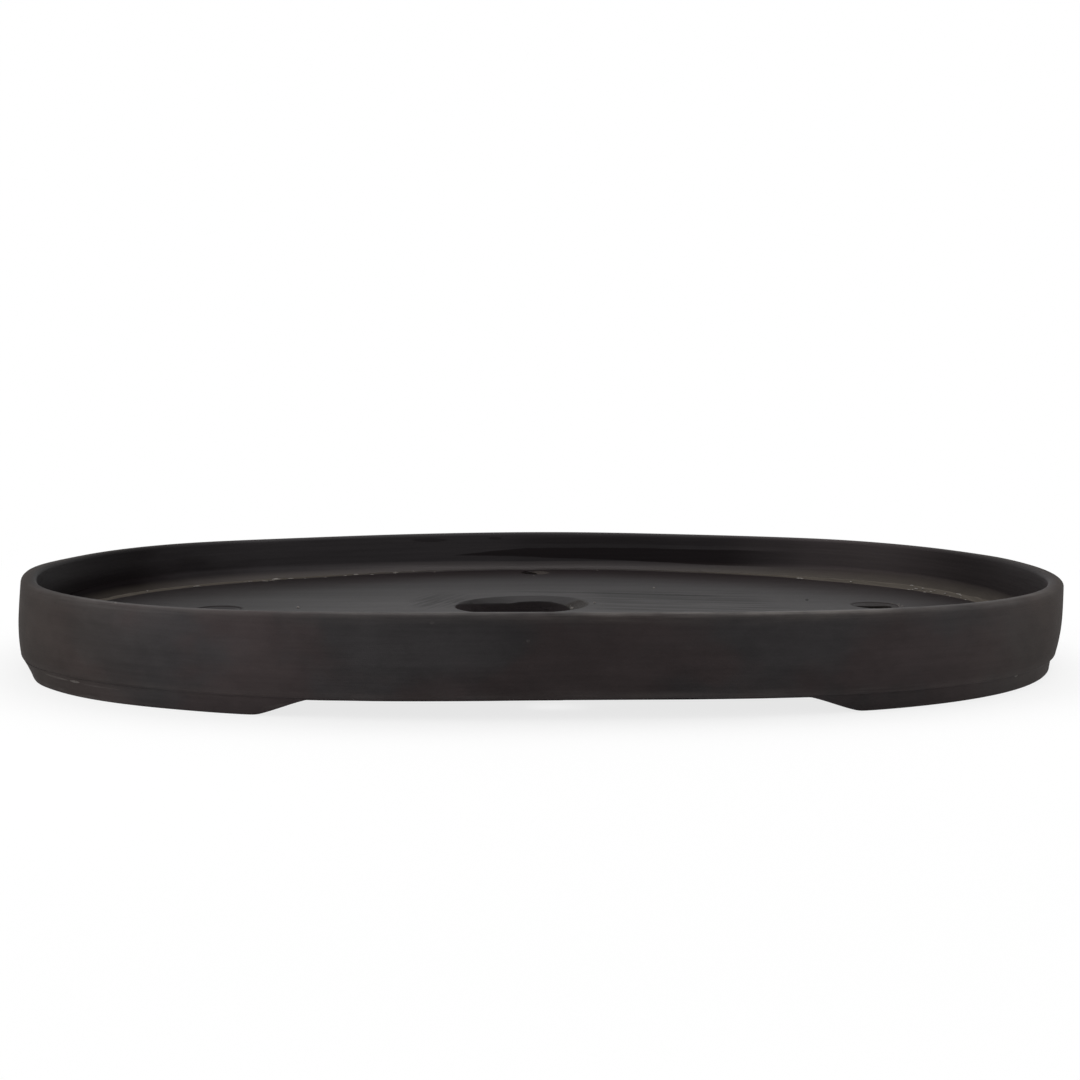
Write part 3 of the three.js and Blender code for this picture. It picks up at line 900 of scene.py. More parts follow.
def drains(sizes):
    """Each drain: its shift from the middle of the frame's opening, its length and width on the floor, its
    bevel at the sides, the left and the right, the bevel's fall and the wall's paleness, and what else it
    has."""
    middle = sizes.middle_length, sizes.middle_width
    end = sizes.end_width, sizes.end_width
    wire = sizes.wire_width, sizes.wire_width
    back_wire = sizes.wire_width, sizes.wire_width * 0.95
    kinds = {
        "middle_drain": ((-1.95, 1), middle, (7.5, 1, 12.4), 0.4, 0.1, {"skew": 5.5 * MM, "pale_end": 1}),
        "left_drain": ((-0.7, 0), end, (8, 4, 4), 0.25, 0.4, {"step": 0.45 * MM}),
        "right_drain": (
            (2.4, 3), end, (7, 1.5, 3.5), 0.2, 1, {"step": 0.3 * MM, "shade": 0.35, "pale_end": 0.35},
        ),
        "back_wire_hole": ((2.5, 3), back_wire, (1.5, 0.8, 10), 0.12, 0.15, {"pale_end": 1}),
        "front_wire_hole": ((0, 0), wire, (1.2, 0.8, 0.8), 0.4, 0.1, {}),
    }
    found = []
    for name, (shift, size, bevels, fall, pale_wall, more) in kinds.items():
        low, high = np.array(OPENINGS[name])
        x, y = ((low + high) / 2)[:2] + np.array(shift) * MM
        widths = [width * MM for width in bevels]
        found.append(Drain(x, y, size[0] / 2, size[1] / 2, *widths, fall, pale_wall, **more))
    return found


def drain_ring(drain, grow):
    """Points round a drain, each moved out from its edge by a distance: an ellipse plus that much of its
    normal. The last axis of grow runs once round the drain."""
    turn = np.arange(grow.shape[-1]) * TAU / grow.shape[-1]
    across = np.cos(turn) * drain.half_width - np.sin(turn) * drain.skew
    across = np.stack((across, np.sin(turn) * drain.half_length), 1)
    normal = across / np.linalg.norm(across, axis=1)[:, None]
    return drain.outline(turn) + normal * grow[..., None]


def drain_gap(drain, points):
    """Roughly how far outside a drain's edge each point lies. The ellipse through it is so many times the
    drain's own, and that number less 1 is taken of the drain's smaller half size."""
    x, y = (points - (drain.x, drain.y)).T
    y = y - x * drain.skew / drain.half_length
    radius = np.hypot(x / drain.half_length, y / drain.half_width)
    return (radius - 1) * min(drain.half_length, drain.half_width)


def pierced_sheet(pot, holes, collar, spacing):
    """A flat sheet of triangles in the slab's outline and round its holes: rings of points along the
    outline and the holes' collars, an even grid between them, and the triangulation that keeps the rings.
    It returns the points, the triangles and the numbers of each hole's collar ring, which are in order
    round the hole."""
    steps, edge_row, collar_row = 720, 0.7 * MM, 0.8 * MM
    stations = Stations.even(pot, 0, TAU, steps, closed=True)
    insets = pot.floor_inset, pot.floor_inset + edge_row
    rings = [stations.place - stations.normal * inset for inset in insets]
    for drain in holes:
        count = int(TAU * max(drain.half_length, drain.half_width) / MM / 2) * 2
        rings += [drain_ring(drain, np.full(count, grow)) for grow in (collar, collar + collar_row)]
    margin = pot.floor_inset + spacing
    x = np.arange(-pot.half_length, pot.half_length, spacing)
    y = np.arange(-pot.half_width, pot.half_width, spacing)
    grid = np.stack(np.meshgrid(x, y), -1).reshape(-1, 2)
    share_x = np.abs(grid[:, 0]) / (pot.half_length - margin)
    share_y = np.abs(grid[:, 1]) / (pot.half_width - margin)
    keep = share_x ** pot.end_power + share_y ** pot.side_power < 1
    for drain in holes:
        keep &= drain_gap(drain, grid) > collar + spacing
    points = np.concatenate((*rings, grid[keep]))
    edges, numbers, start = [], [], 0
    for ring in rings:
        numbers.append(np.arange(len(ring)) + start)
        edges.append(np.stack((numbers[-1], np.roll(numbers[-1], -1)), 1))
        start += len(ring)
    made = delaunay_2d_cdt(points.tolist(), np.concatenate(edges).tolist(), [], 0, 1e-7)
    if len(made[0]) != len(points):
        raise ValueError("the floor's points are too close together to be triangulated")
    faces = np.array(made[2])
    collars = numbers[2::2]
    for ring in collars:
        faces = faces[~np.isin(faces, ring).all(1)]
    return points, faces, numbers[0], collars


def floor_swell(pot, points):
    """How far the floor stands off its level: a shallow dish, and long crossed waves left by wiping it."""
    x, y = points.T
    rest = 1 - (x / pot.half_length) ** 2 - (y / pot.half_width) ** 2
    dish = -0.3 * MM * np.clip(rest, 0, 1)
    waves = 0.08 * MM * np.cos(TAU * x / 0.21 + 1.0) * np.cos(TAU * y / 0.12 + 0.4)
    slanted = 0.03 * MM * np.cos(TAU * (x / 0.13 + y / 0.045) + 2.0)
    level = 0.03 * MM * np.cos(TAU * y / 0.031 - x / 0.06)
    return dish + waves + slanted + level


def drain_wall(drain, sizes, top, bottom, count, random):
    """Rings of points down a drain's wall, how pale each is and whether it is in the shaft: a sharp step
    where the drain has one, a wiped bevel that falls a little more steeply inwards, a wall that widens
    downwards and is roughened by chance, and a rounded lower edge."""
    turn = np.arange(count) * TAU / count
    outline, opening = drain.outline(turn), drain.opening(turn)
    width = np.linalg.norm(opening - outline, axis=1)
    spokes = opening - (drain.x, drain.y)
    normal = spokes / np.linalg.norm(spokes, axis=1)[:, None]
    way = np.append(np.linspace(0, 0.12, 4), np.linspace(0.2, 1, 11))[:, None]
    drop = drain.fall * width * way ** 1.15 + drain.step * smooth(0, 0.12, way)
    down = np.linspace(0, 1, 16)[1:, None]
    bearing = np.radians(np.linspace(0, 90, 6))[1:, None]
    wall_low = bottom + sizes.under_round
    wall_high = top - drop[-1]
    chance = random.normal(size=(len(down), count))
    chance = sum(np.roll(chance, step, 1) for step in range(-2, 3)) / 5 ** 0.5
    draft, roughness = 0.6 * MM, 0.2 * MM
    rough = roughness * chance * np.sin(math.pi * down)
    grow = np.concatenate((
        draft * down + rough,
        draft + sizes.under_round * (1 - np.cos(bearing)) + 0 * turn,
    ))
    upper = outline + (opening - outline) * way[..., None]
    place = np.concatenate((upper, opening + normal * grow[..., None]))
    height = np.concatenate((
        top - drop,
        wall_high + (wall_low - wall_high) * down,
        wall_low - sizes.under_round * np.sin(bearing) + 0 * turn,
    ))
    # Painted shadow: a narrow dark band under the sharp step, and the drain's painted shade on its bevel,
    # darken the clay and take the floor's sheen away.
    edge = drain.step / MM * 1.4 * hump(way, 0.06, 0.1) + drain.shade
    shaft = np.concatenate((np.clip(edge, 0, 1), smooth(0, 0.1, down), 1 + 0 * bearing)) + 0 * turn
    # Paleness: torn clay, and painted light on the walls and on the back wire hole's right end; the wall's
    # painted light fades downwards.
    end = drain.pale_end * drain.torn(turn) * smooth(0.02, 0.2, way)
    pale = np.concatenate((end, drain.pale_wall * (1 - 0.5 * down) + 0 * turn, 0 * bearing + 0 * turn))
    return np.concatenate((place, height[..., None]), 2), pale.ravel(), shaft.ravel()


def floor_crumbs(holes, floor, random):
    """Crumbs that lie where the knife tore the clay, at the right ends of two drains, and here and there on
    the floor. They lie along the lower edge of the middle drain's bevel and along the upper edge of the
    right drain's."""
    centres = []
    for drain, count, low, high in ((holes[0], 15, -0.1, 0.4), (holes[2], 6, -0.5, 0.5)):
        turn = random.uniform(low, high, count)
        inner, outer = drain.opening(turn), drain.outline(turn)
        bounds = (0, 0.14) if drain.step == 0 else (0.9, 1.2)
        way = random.uniform(*bounds, (count, 1))
        fall = drain.fall * np.linalg.norm(outer - inner, axis=1)[:, None] * np.clip(1 - way, 0, 1) ** 1.4
        centres.append(np.hstack((inner + (outer - inner) * way, floor - fall)))
    loose = np.array([
        [0.7, 150.7], [80.1, 83.6], [33.2, 14.0], [225.5, 10.9], [224.6, 2.3], [-149.5, 4.4],
    ]) * MM
    centres.append(np.hstack((loose, np.full((len(loose), 1), floor))))
    centres = np.concatenate(centres)
    bearing = random.uniform(0, TAU, len(centres))
    along = np.stack((np.cos(bearing), np.sin(bearing)), 1)
    size = random.uniform(0.2, 0.5, (len(centres), 1)) * np.array([[1.4, 1.0, 0.6]])
    size[-len(loose):] *= 1.7
    return crumbs(centres, along, size * MM, random)


class BONSAIPOT_OT_planting_floor(bpy.types.Operator):
    """Build the planting floor: a sheet pierced by its drains, with wiped bevels and torn walls"""

    bl_idname = "bonsai_pot.planting_floor"
    bl_label = "Planting Floor"

    def execute(self, context):
        scene = context.scene
        pot, sizes, tints = scene.bonsai_pot, scene.bonsai_drains, scene.bonsai_clay
        holes = drains(sizes)
        flat, faces, outline, collars = pierced_sheet(pot, holes, sizes.collar, sizes.spacing)
        count = len(flat)
        level = np.full((count, 1), pot.foot_height)
        swell = floor_swell(pot, flat)[:, None]
        parts = [np.hstack((flat, swell + pot.floor_height)), np.hstack((flat, level))]
        edge = quads(np.stack((outline, outline + count)), loop_columns=True)
        sets = [faces, faces[:, ::-1] + count, edge]
        cut, shaft = [np.zeros(2 * count)], [np.zeros(2 * count)]
        random = np.random.default_rng(31)
        start = 2 * count
        for drain, ring in zip(holes, collars):
            wall, pale, deep = drain_wall(drain, sizes, pot.floor_height, pot.foot_height, len(ring), random)
            swing = floor_swell(pot, wall[..., :2].reshape(-1, 2)).reshape(wall.shape[:2])
            part = (wall[..., 2] - pot.foot_height) / (pot.floor_height - pot.foot_height)
            wall[..., 2] += swing * part
            parts.append(wall.reshape(-1, 3))
            cut.append(pale)
            shaft.append(deep)
            numbers = np.concatenate((ring[None], numbered(*wall.shape[:2], start), ring[None] + count))
            sets.append(quads(numbers, loop_columns=True)[:, ::-1])
            start += wall.shape[0] * wall.shape[1]
        lumps, triangles, sides = floor_crumbs(holes, pot.floor_height, random)
        sets += [sides + start, triangles + start]
        index = np.repeat([0] * (len(sets) - 2) + [1, 1], [len(kind) for kind in sets])
        points = np.concatenate((*parts, lumps))
        zeros = np.zeros(len(lumps))
        spread = {"cut": np.concatenate((*cut, zeros)), "shaft": np.concatenate((*shaft, zeros))}
        finishes = [floor_clay(tints), crumb_clay(tints)]
        piece = make_piece("drained_floor", points, sets, spread, finishes, index)
        piece.data.set_sharp_from_angle(angle=math.radians(60))
        seat(piece, "floor_slab")
        return {"FINISHED"}


def crumbs(centres, along, sizes, random):
    """Closed lumps: a ball of a few points round each centre, stretched to its size with its first axis
    along a direction on the floor, and each point moved in or out by chance."""
    rows, columns = 4, 7
    polar = np.arange(1, rows + 1) * math.pi / (rows + 1)
    turn = np.arange(columns) * TAU / columns
    ball = np.stack((
        np.outer(np.sin(polar), np.cos(turn)),
        np.outer(np.sin(polar), np.sin(turn)),
        np.outer(np.cos(polar), np.ones(columns)),
    ), 2).reshape(-1, 3)
    ball = np.concatenate((ball, [[0, 0, 1], [0, 0, -1]]))
    shaped = ball * sizes[:, None, :] * random.uniform(0.7, 1.15, (len(centres), len(ball), 1))
    across = np.stack((-along[:, 1], along[:, 0]), 1)
    flat = shaped[..., :1] * along[:, None, :] + shaped[..., 1:2] * across[:, None, :]
    points = centres[:, None, :] + np.concatenate((flat, shaped[..., 2:]), 2)
    numbers = numbered(rows, columns)
    following = np.roll(numbers, -1, 1)
    highest, lowest = rows * columns, rows * columns + 1
    top = np.stack((numbers[0], following[0], np.full(columns, highest)), 1)
    low = np.stack((following[-1], numbers[-1], np.full(columns, lowest)), 1)
    offset = (np.arange(len(centres)) * len(ball))[:, None, None]
    triangles = (np.concatenate((top, low)) + offset).reshape(-1, 3)
    sides = (quads(numbers, loop_columns=True) + offset).reshape(-1, 4)
    return points.reshape(-1, 3), triangles, sides


def cove_oval(cove, turn):
    """The oval of the cove's edge on the floor, at the same turns as the pot's own oval."""
    x = cove.half_length * signed_power(np.cos(turn), 2 / cove.end_power)
    y = cove.half_width * signed_power(np.sin(turn), 2 / cove.side_power)
    return np.stack((x, y), 1)


def crest_height(cove, turn):
    """Height of the crest over the floor: low along the sides, higher round both ends, a little broken."""
    left, right = smooth(-0.6, -0.95, np.cos(turn)), smooth(0.55, 0.9, np.cos(turn))
    low = cove.crest_low
    level = low + (cove.crest_left - low) * left + (cove.crest_right - low) * right
    return level * (1 + unevenness(turn, (0.07, 13, 0.6), (0.05, 37, 2.2), (0.04, 83, 4.1)))


def lip_crumbs(cove, floor, random):
    """Dried flakes and crumbs along the crest, thickest at the back left, where long flakes lie too. They
    lie between the edge and the crest, or just inside the edge."""
    flakes = np.radians([
        146.3, 136.8, 135.9, 131.2, 130.4, 129.5, 128.6, 127.6, 126.6, 120.9, 117.5, 110.9, 46.5,
    ])
    parts = [
        random.uniform(0.60 * math.pi, 0.75 * math.pi, 26),
        random.uniform(0.05 * math.pi, 0.14 * math.pi, 22),
        random.uniform(0, TAU, 30),
        flakes,
    ]
    turn = np.concatenate(parts)
    step = 0.001
    edge = cove_oval(cove, turn)
    along = cove_oval(cove, turn + step) - cove_oval(cove, turn - step)
    along /= np.linalg.norm(along, axis=1)[:, None]
    outward = np.stack((along[:, 1], -along[:, 0]), 1)
    crest = crest_height(cove, turn)
    back = random.normal(0.5 * cove.crest_back * crest, 0.7 * MM)
    back[-len(flakes):] = 0.3 * MM
    rise = crest * np.clip(back / (cove.crest_back * crest), 0, 1)
    centres = np.concatenate((edge + outward * back[:, None], (floor + rise)[:, None]), 1)
    size = random.uniform(0.2, 0.65, (len(turn), 1)) ** 1.4 * np.array([[2.6, 1.1, 0.8]]) * MM
    size[:, 0] *= random.uniform(0.5, 1.6, len(turn))
    size[-len(flakes):] = np.array([2.6, 0.6, 0.45]) * random.uniform(0.5, 1.3, (len(flakes), 1)) * MM
    return crumbs(centres, along, size, random)


class BONSAIPOT_OT_inside_cove(bpy.types.Operator):
    """Build the cove pushed into the inside corner, with its crest, its edge and the crumbs along it"""

    bl_idname = "bonsai_pot.inside_cove"
    bl_label = "Inside Cove"

    def execute(self, context):
        scene = context.scene
        pot, cove, tints = scene.bonsai_pot, scene.bonsai_cove, scene.bonsai_clay
        stations = Stations.even(pot, 0, TAU, pot.stations, closed=True)
        points, spread = cove_surface(pot, cove, stations)
        rows, columns = points.shape[:2]
        points = points.reshape(-1, 3)
        faces = quads(numbered(rows, columns), True, True)
        if volume(points, faces) < 0:
            faces = faces[:, ::-1]
        lumps, triangles, sides = lip_crumbs(cove, pot.floor_height, np.random.default_rng(12))
        count = len(points)
        sets = [faces, sides + count, triangles + count]
        index = np.repeat([0, 1, 1], [len(kind) for kind in sets])
        for name in ("dried", "lower", "margin"):
            spread[name] = np.concatenate((spread[name].ravel(), np.ones(len(lumps))))
        spread["path"] = np.concatenate((spread["path"], lumps))
        finishes = [cove_clay(tints), crumb_clay(tints)]
        piece = make_piece("inside_cove", np.concatenate((points, lumps)), sets, spread, finishes, index)
        piece.data.set_sharp_from_angle(angle=math.radians(75))
        seat(piece, "corner_coil")
        return {"FINISHED"}


def cove_masks(cove, cosine, from_edge, setback, rise, crest):
    """What the cove's finish reads. Dried is where slip has dried on the crest, most of all towards the
    ends. Margin is the band above the crest, wider to the right. Lower is how far down the hollow a point
    is."""
    rightward = smooth(-0.3, 0.3, cosine)
    strength = 0.45 + 0.55 * smooth(0.2, 0.7, np.abs(cosine))
    above = np.clip(from_edge - setback, 0, None)
    crust = np.where(above > 0, hump(above, 0, 0.5 * MM), 1)
    dried = strength * crust * smooth(-0.2 * MM, 0.3 * MM, from_edge)
    margin_height = (3.4 + 3.1 * rightward) * MM
    margin = np.clip(1 - np.clip(rise - crest, 0, None) / margin_height, 0, 1) ** 1.3
    margin = margin * (0.62 + 0.38 * rightward) * smooth(0.15, 0.6, np.abs(cosine))
    fade = 1 + 1.6 * smooth(0.1, 0.5, cosine) + 1.1 * smooth(-0.2, -0.45, cosine)
    lower = np.clip(1.25 * (1 - rise / cove.height), 0, 1) ** fade
    return {"dried": dried, "margin": margin, "lower": lower}


def cove_surface(pot, cove, stations):
    """The cove's points and what its finish reads. From the wall the surface falls as a quarter of an
    ellipse to the crest, rises there in a small burr, and drops in a soft step to its edge on the floor,
    which is drawn back at the back right. The rest of the section is out of sight in the clay of floor and
    wall."""
    turn, floor = stations.turn, pot.floor_height
    top = floor + cove.height
    over_base = top - pot.foot_height
    lift = np.array([over_base / (pot.rim_height - pot.foot_height)])
    tuck = inner_inset(pot, over_base) - 0.12 * MM
    back = stations.place - stations.normal * (tuck + wall_waver(turn, lift))
    across = cove_oval(cove, turn) - back
    width = np.linalg.norm(across, axis=1)[:, None]
    across /= width
    waves = (0.3, 3, 0.5), (0.25, 8, 1.7), (0.15, 19, 3.0), (0.1, 43, 5.0)
    wander = unevenness(turn, *waves) * MM
    cosine = np.cos(turn)
    drawn = cove.drawn * smooth(0.02, 0.25, cosine) * smooth(0.74, 0.6, cosine) * (np.sin(turn) > 0)
    width = width + (wander - drawn)[:, None]
    crest = crest_height(cove, turn)[:, None]
    setback = np.minimum(cove.crest_back * crest, 0.3 * width)
    bearing = np.linspace(0, TAU / 4, 28)
    hollow_run = (width - setback) * (1 - np.cos(bearing))
    hollow = cove.height - (cove.height - crest) * np.sin(bearing)
    broken = 1 + unevenness(turn, (0.3, 61, 0), (0.25, 97, 2), (0.2, 173, 4))[:, None]
    hollow = hollow + cove.burr * broken * hump(width - hollow_run, setback + 0.3 * MM, cove.burr_width)
    fall = np.linspace(0, 1, 9)[1:]
    face_run = width - setback * (1 - fall)
    burr = cove.burr * broken * hump(fall * setback, -0.3 * MM, cove.burr_width)
    face = crest * (1 - smooth(0, 1, fall)) + burr
    hidden = np.zeros_like(width)
    beyond = width + 0.2 * MM, width - 2 * MM
    run = np.concatenate((hollow_run, face_run, *beyond, hidden - MM, hidden - MM), 1)
    low = hidden - 1.2 * MM
    rise = np.concatenate((hollow, face, hidden - 0.7 * MM, low, low, hidden + cove.height - 0.6 * MM), 1)
    flat = back[:, None, :] + across[:, None, :] * run[..., None]
    points = np.concatenate((flat, (floor + rise)[..., None]), 2)
    reach = np.cumsum(np.linalg.norm(np.diff(points, axis=1, prepend=points[:, :1]), axis=2), axis=1)
    masks = cove_masks(cove, cosine[:, None], width - run, setback, rise, crest)
    return points, {"path": clay_path(stations, reach), **masks}


def toe_depth(pot, sizes, way, bend):
    """How deep the foot is at a share of the way from a toe's tip to its sole: a straight ramp with a soft
    lower corner, mixed with a soft step whose share is bend."""
    rest = (1 - way + np.hypot(1 - way, sizes.toe_soft)) / 2
    ramp = np.clip(bend * smooth(0, 1, way) + (1 - bend) * (1 - rest), 0, 1)
    return (pot.foot_height - (pot.foot_height - sizes.toe_edge) * (1 - ramp))[:, None]


def wiped_seam(pot, sizes, top, wiped, up):
    """How far the clay over the seam is inset at shares of its rise. Where it is wiped it stands a little
    proud of the wall and its rounded lower edge, and its upper edge runs into the wall. Elsewhere it is
    sunk in the wall."""
    surface = outer_inset(pot, sizes.seam_rise * up)
    over_round = np.clip(1 - sizes.seam_rise * up / pot.base_round, 0, 1)
    surface = surface + pot.base_round * (1 - np.sqrt(1 - over_round ** 2))
    proud = np.minimum(surface, top) + 0.4 * MM * up ** 3 - 0.12 * MM * np.sin(math.pi * up)
    sunk = surface + 0.8 * MM
    return sunk + (proud - sunk) * wiped


def foot_section(pot, sizes, depth, top, out, wiped, press):
    """The foot's section at each station, as insets, heights and how much wear each point gets: down the wiped
    seam and the outer face, round the sole's edges, up the inner face and a little into the body. Top is how
    far the outer face's upper edge is inset, and out is how far the sole stands out."""
    base, back = pot.foot_height, sizes.top_inset + sizes.width
    up = np.linspace(1, 0, 7)[:-1]
    face = np.linspace(0, 1, 14)
    bearing = np.radians(np.linspace(0, 90, 8))
    soft = np.minimum(sizes.sole_round, depth / 2)
    sole = base - depth
    share_down = depth / base
    outer = top + (sizes.sole_inset - out - top) * share_down
    inner = back - (sizes.sole_inset - sizes.top_inset) * share_down
    inset = np.concatenate((
        wiped_seam(pot, sizes, top, wiped, up),
        top + (outer - top) * face + press * np.sin(math.pi * face),
        outer + soft * (1 - np.cos(bearing[1:])),
        outer + soft + (inner - outer - 2 * soft) * np.linspace(0, 1, 8)[1:-1],
        inner - soft * (1 - np.cos(bearing[::-1])),
        inner + (back - inner) * face[1:],
        np.full_like(depth, back),
    ), 1)
    height = np.concatenate((
        base + sizes.seam_rise * up + 0 * depth,
        base - (depth - soft) * face,
        sole + soft * (1 - np.sin(bearing[1:])),
        sole + np.zeros((1, 6)),
        sole + soft * (1 - np.sin(bearing[::-1])),
        base - (depth - soft) * face[-2::-1],
        np.full_like(depth, base + 0.4 * MM),
    ), 1)
    worn = np.zeros(inset.shape[1])
    worn[:len(up) + 3] = 0.25
    worn[len(up) + len(face) - 3:len(up) + len(face) + 7] = 0.5
    return inset, height, worn


class BONSAIPOT_OT_end_feet(bpy.types.Operator):
    """Build the two crescent feet, whose toes rise to thin tips, on the same oval as the wall"""

    bl_idname = "bonsai_pot.end_feet"
    bl_label = "End Feet"

    def execute(self, context):
        scene = context.scene
        pot, sizes, tints = scene.bonsai_pot, scene.bonsai_feet, scene.bonsai_clay
        finish = foot_clay(tints)
        right = sizes.right_toe, sizes.right_run, sizes.right_tuck, sizes.right_swell
        left = sizes.left_toe, sizes.left_run, sizes.left_tuck, sizes.left_swell
        self.foot("right_end_foot", "right_foot", 1, 0.15, 0.3, right, pot, sizes, finish)
        self.foot("left_end_foot", "left_foot", -1, 0.1, 0.9, left, pot, sizes, finish)
        return {"FINISHED"}

    def foot(self, name, node, side, bend, smear, own, pot, sizes, finish):
        """One foot: its section carried round one end, from tip to tip of its toes. Round the end the top
        edge draws in and the sole stands out a little more. Bend is the toes' share of a soft step, smear
        is how much clay is wiped up over the seam with the wall, and own holds its own four sizes."""
        toe, run, tuck, swell = own
        whole = Stations(pot, np.linspace(-TAU / 4, TAU / 4, Stations.SAMPLES))
        tip = whole.turn_at(toe)
        stations = Stations.even(pot, -tip, tip, sizes.stations)
        turn = stations.turn + (0 if side > 0 else math.pi)
        depth = toe_depth(pot, sizes, (stations.place[:, 0] - toe) / run, bend)
        place = stations.place[:, :1]
        drawn = smooth(215 * MM, 285 * MM, place)
        out = swell * smooth(170 * MM, 245 * MM, place)
        if side < 0:
            out = out - sizes.sole_draw * smooth(262 * MM, 289 * MM, place)
        wiped = smear * (1 + unevenness(turn, (0.3, 15, 0.3), (0.25, 31, 1.2), (0.2, 67, 4.0)))[:, None]
        wiped = np.clip(wiped, 0, 1) * (1 - 0.6 * drawn)
        top = sizes.top_inset - 0.7 * MM * wiped + tuck * drawn
        press = unevenness(turn, (0.12 * MM, 9, 0.3), (0.1 * MM, 23, 1.9), (0.06 * MM, 41, 4.0))[:, None]
        inset, height, worn = foot_section(pot, sizes, depth, top, out, wiped, press)
        points = stations.carry(inset, height)
        points[..., :2] *= side
        rows, columns = inset.shape
        reach = np.cumsum(np.linalg.norm(np.diff(points, axis=1, prepend=points[:, :1]), axis=2), axis=1)
        numbers = numbered(rows, columns)
        side_faces = quads(numbers, loop_columns=True)
        caps = np.concatenate((cap_faces(numbers[0])[:, ::-1], cap_faces(numbers[-1])))
        path = clay_path(stations, reach)
        path[:, :2] *= side
        spread = {"path": path, "worn": np.tile(worn, rows)}
        piece = make_piece(name, points, [side_faces, caps], spread, [finish])
        piece.data.set_sharp_from_angle(angle=math.radians(50))
        seat(piece, node)


def studio_camera(studio):
    """The camera at its place, turned, dipped and rolled as the studio says."""
    data = bpy.data.cameras.new("studio_camera")
    data.lens = studio.lens
    data.sensor_width = 36
    data.clip_start, data.clip_end = 0.01, 50
    camera = bpy.data.objects.new("studio_camera", data)
    turn = Matrix.Rotation(-studio.camera_turn, 4, "Z")
    dip = Matrix.Rotation(math.pi / 2 - studio.camera_dip, 4, "X")
    roll = Matrix.Rotation(studio.camera_roll, 4, "Z")
    camera.matrix_world = Matrix.Translation(studio.camera_place) @ turn @ dip @ roll
    return camera


def soft_lamp(name, power, place, aim, size):
    """A square soft lamp that faces a point."""
    data = bpy.data.lights.new(name, "AREA")
    data.shape = "RECTANGLE"
    data.size, data.size_y = size
    data.energy = power
    lamp = bpy.data.objects.new(name, data)
    place, aim = Vector(place), Vector(aim)
    facing = (aim - place).to_track_quat("-Z", "Y").to_matrix().to_4x4()
    lamp.matrix_world = Matrix.Translation(place) @ facing
    return lamp


def seen_directly(graph):
    """Which rays see the backdrop itself, by kind: from the camera, mirrored or through glass."""
    return [graph.node("LightPath", output=f"Is {kind} Ray") for kind in ("Camera", "Glossy", "Transmission")]


def light_room(studio):
    """The room: even light on the object, white to the camera, and in reflections white towards the
    backdrop and dim towards the camera's side."""
    world = bpy.data.worlds.new("studio_room")
    world.use_nodes = True
    graph = Graph(world.node_tree)
    camera, glossy, through = seen_directly(graph)
    heading = graph.node("TexCoord", output="Generated")
    depth = graph.node("SeparateXYZ", inputs={0: heading}, output="Y")
    towards_backdrop = graph.step(depth, -0.15, 0.25)
    sheen = studio.room_sheen + towards_backdrop * (studio.backdrop_sheen - studio.room_sheen)
    mirrored = (glossy + through) * (1 - camera)
    strength = camera + mirrored * sheen + (1 - camera) * (1 - (glossy + through)) * studio.ambient
    shader = graph.node("Background", inputs={"Color": (1, 1, 1, 1), "Strength": strength})
    graph.node("OutputWorld", inputs={"Surface": shader})
    return world


def studio_floor(studio):
    """A white floor. Near the object a share of its own shading shows, and so the object's shadow."""
    material, graph = new_graph("studio_floor_finish")
    camera, glossy, through = seen_directly(graph)
    from_pot = graph.place((1, 1.3, 1))
    distance = graph.node("VectorMath", {"operation": "LENGTH"}, {0: from_pot}, output="Value")
    shading = studio.shadow_share * (1 - graph.step(distance, 0.3, 0.75))
    diffuse = graph.node("BsdfDiffuse", inputs={"Color": (0.9, 0.9, 0.9, 1)})
    glow = graph.node("Emission", inputs={"Color": (1, 1, 1, 1), "Strength": 1.0})
    direct = camera + glossy + through
    graph.finish(graph.node("MixShader", inputs={0: direct * (1 - shading), 1: diffuse, 2: glow}))
    mesh = bpy.data.meshes.new("studio_floor")
    reach = 4.0
    corners = [(x * reach, y * reach, 0) for x, y in ((-1, -1), (1, -1), (1, 1), (-1, 1))]
    mesh.from_pydata(corners, [], [(0, 1, 2, 3)])
    mesh.materials.append(material)
    return bpy.data.objects.new("studio_floor", mesh)


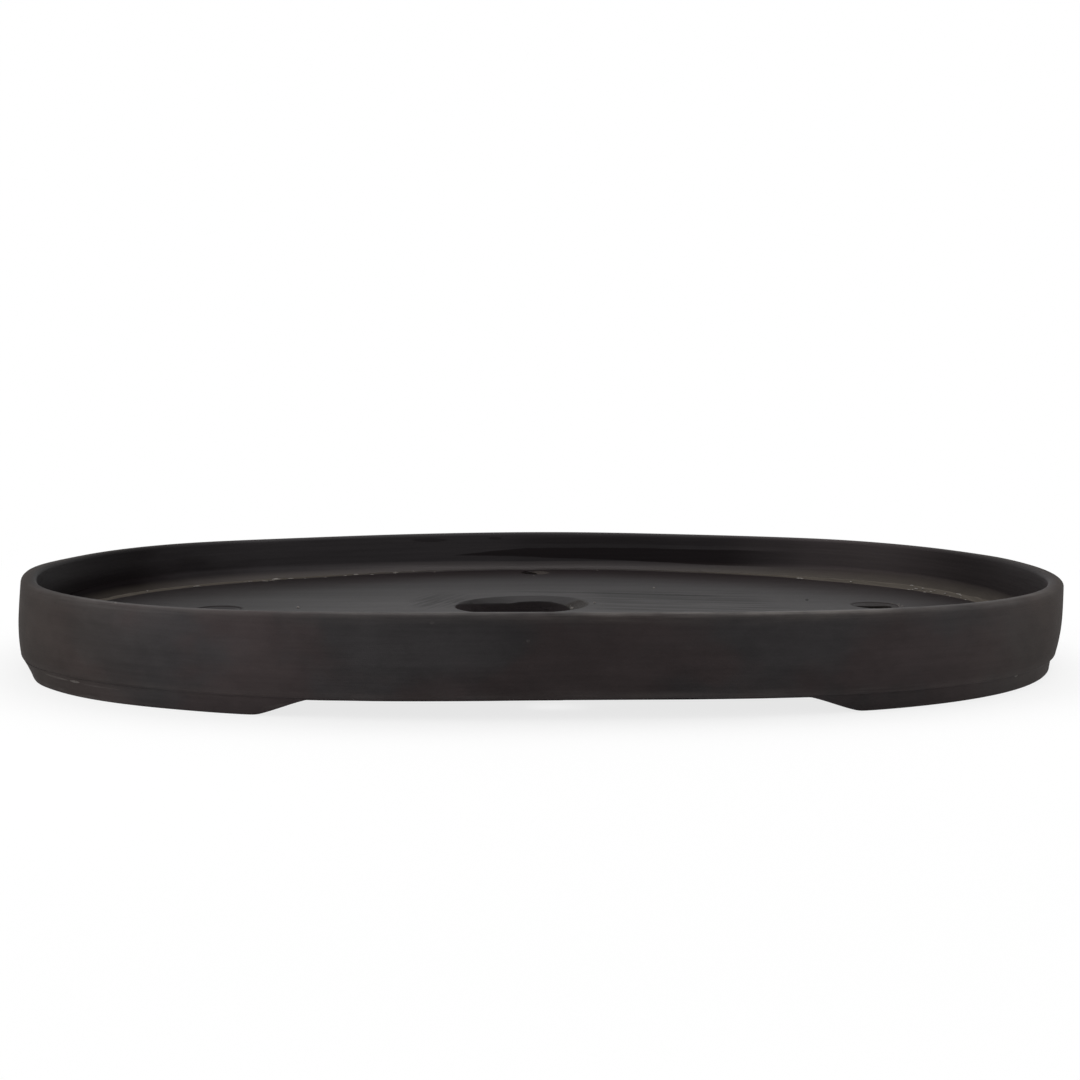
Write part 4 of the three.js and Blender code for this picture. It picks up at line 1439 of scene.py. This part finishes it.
class BONSAIPOT_OT_studio(bpy.types.Operator):
    """Set up the camera, the soft lamps, the room and the white floor"""

    bl_idname = "bonsai_pot.studio"
    bl_label = "Studio"

    def execute(self, context):
        scene, studio = context.scene, context.scene.bonsai_studio
        aim = (0, 0, 0.03)
        camera = studio_camera(studio)
        floor = studio_floor(studio)
        lamps = (
            soft_lamp("left_lamp", studio.left_power, (-1.25, -0.35, 0.55), aim, (0.7, 0.7)),
            soft_lamp("right_lamp", studio.right_power, (1.3, -0.15, 0.55), aim, (0.7, 0.7)),
            soft_lamp("top_lamp", studio.top_power, (0.15, 0.3, 1.3), aim, (1.4, 0.9)),
        )
        for placed in (camera, floor, *lamps):
            scene.collection.objects.link(placed)
        scene.camera = camera
        scene.world = light_room(studio)
        scene.view_settings.view_transform = "Standard"
        return {"FINISHED"}


class BONSAIPOT_PT_panel(bpy.types.Panel):
    """The pot's pieces and their sizes"""

    bl_label = "Bonsai Pot"
    bl_space_type = "VIEW_3D"
    bl_region_type = "UI"
    bl_category = "Bonsai Pot"

    def draw(self, context):
        for group in GROUPS:
            settings = getattr(context.scene, group)
            box = self.layout.box()
            for key in settings.__annotations__:
                box.prop(settings, key)
        for operator in OPERATORS:
            self.layout.operator(operator.bl_idname)


GROUPS = {
    "bonsai_pot": PotSizes,
    "bonsai_cove": CoveSizes,
    "bonsai_drains": DrainSizes,
    "bonsai_feet": FootSizes,
    "bonsai_clay": ClayTints,
    "bonsai_studio": StudioSetup,
}
OPERATORS = (
    BONSAIPOT_OT_studio,
    BONSAIPOT_OT_side_wall,
    BONSAIPOT_OT_planting_floor,
    BONSAIPOT_OT_inside_cove,
    BONSAIPOT_OT_end_feet,
)


def register():
    for group in GROUPS.values():
        bpy.utils.register_class(group)
    for name, group in GROUPS.items():
        setattr(bpy.types.Scene, name, PointerProperty(type=group))
    for shown in (*OPERATORS, BONSAIPOT_PT_panel):
        bpy.utils.register_class(shown)


def unregister():
    for shown in (BONSAIPOT_PT_panel, *reversed(OPERATORS)):
        bpy.utils.unregister_class(shown)
    for name in GROUPS:
        delattr(bpy.types.Scene, name)
    for group in reversed(GROUPS.values()):
        bpy.utils.unregister_class(group)


def main():
    """Build every piece and the studio."""
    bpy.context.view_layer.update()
    register()
    for operator in OPERATORS:
        group, name = operator.bl_idname.split(".")
        getattr(getattr(bpy.ops, group), name)()


if __name__ == "__main__":
    main()
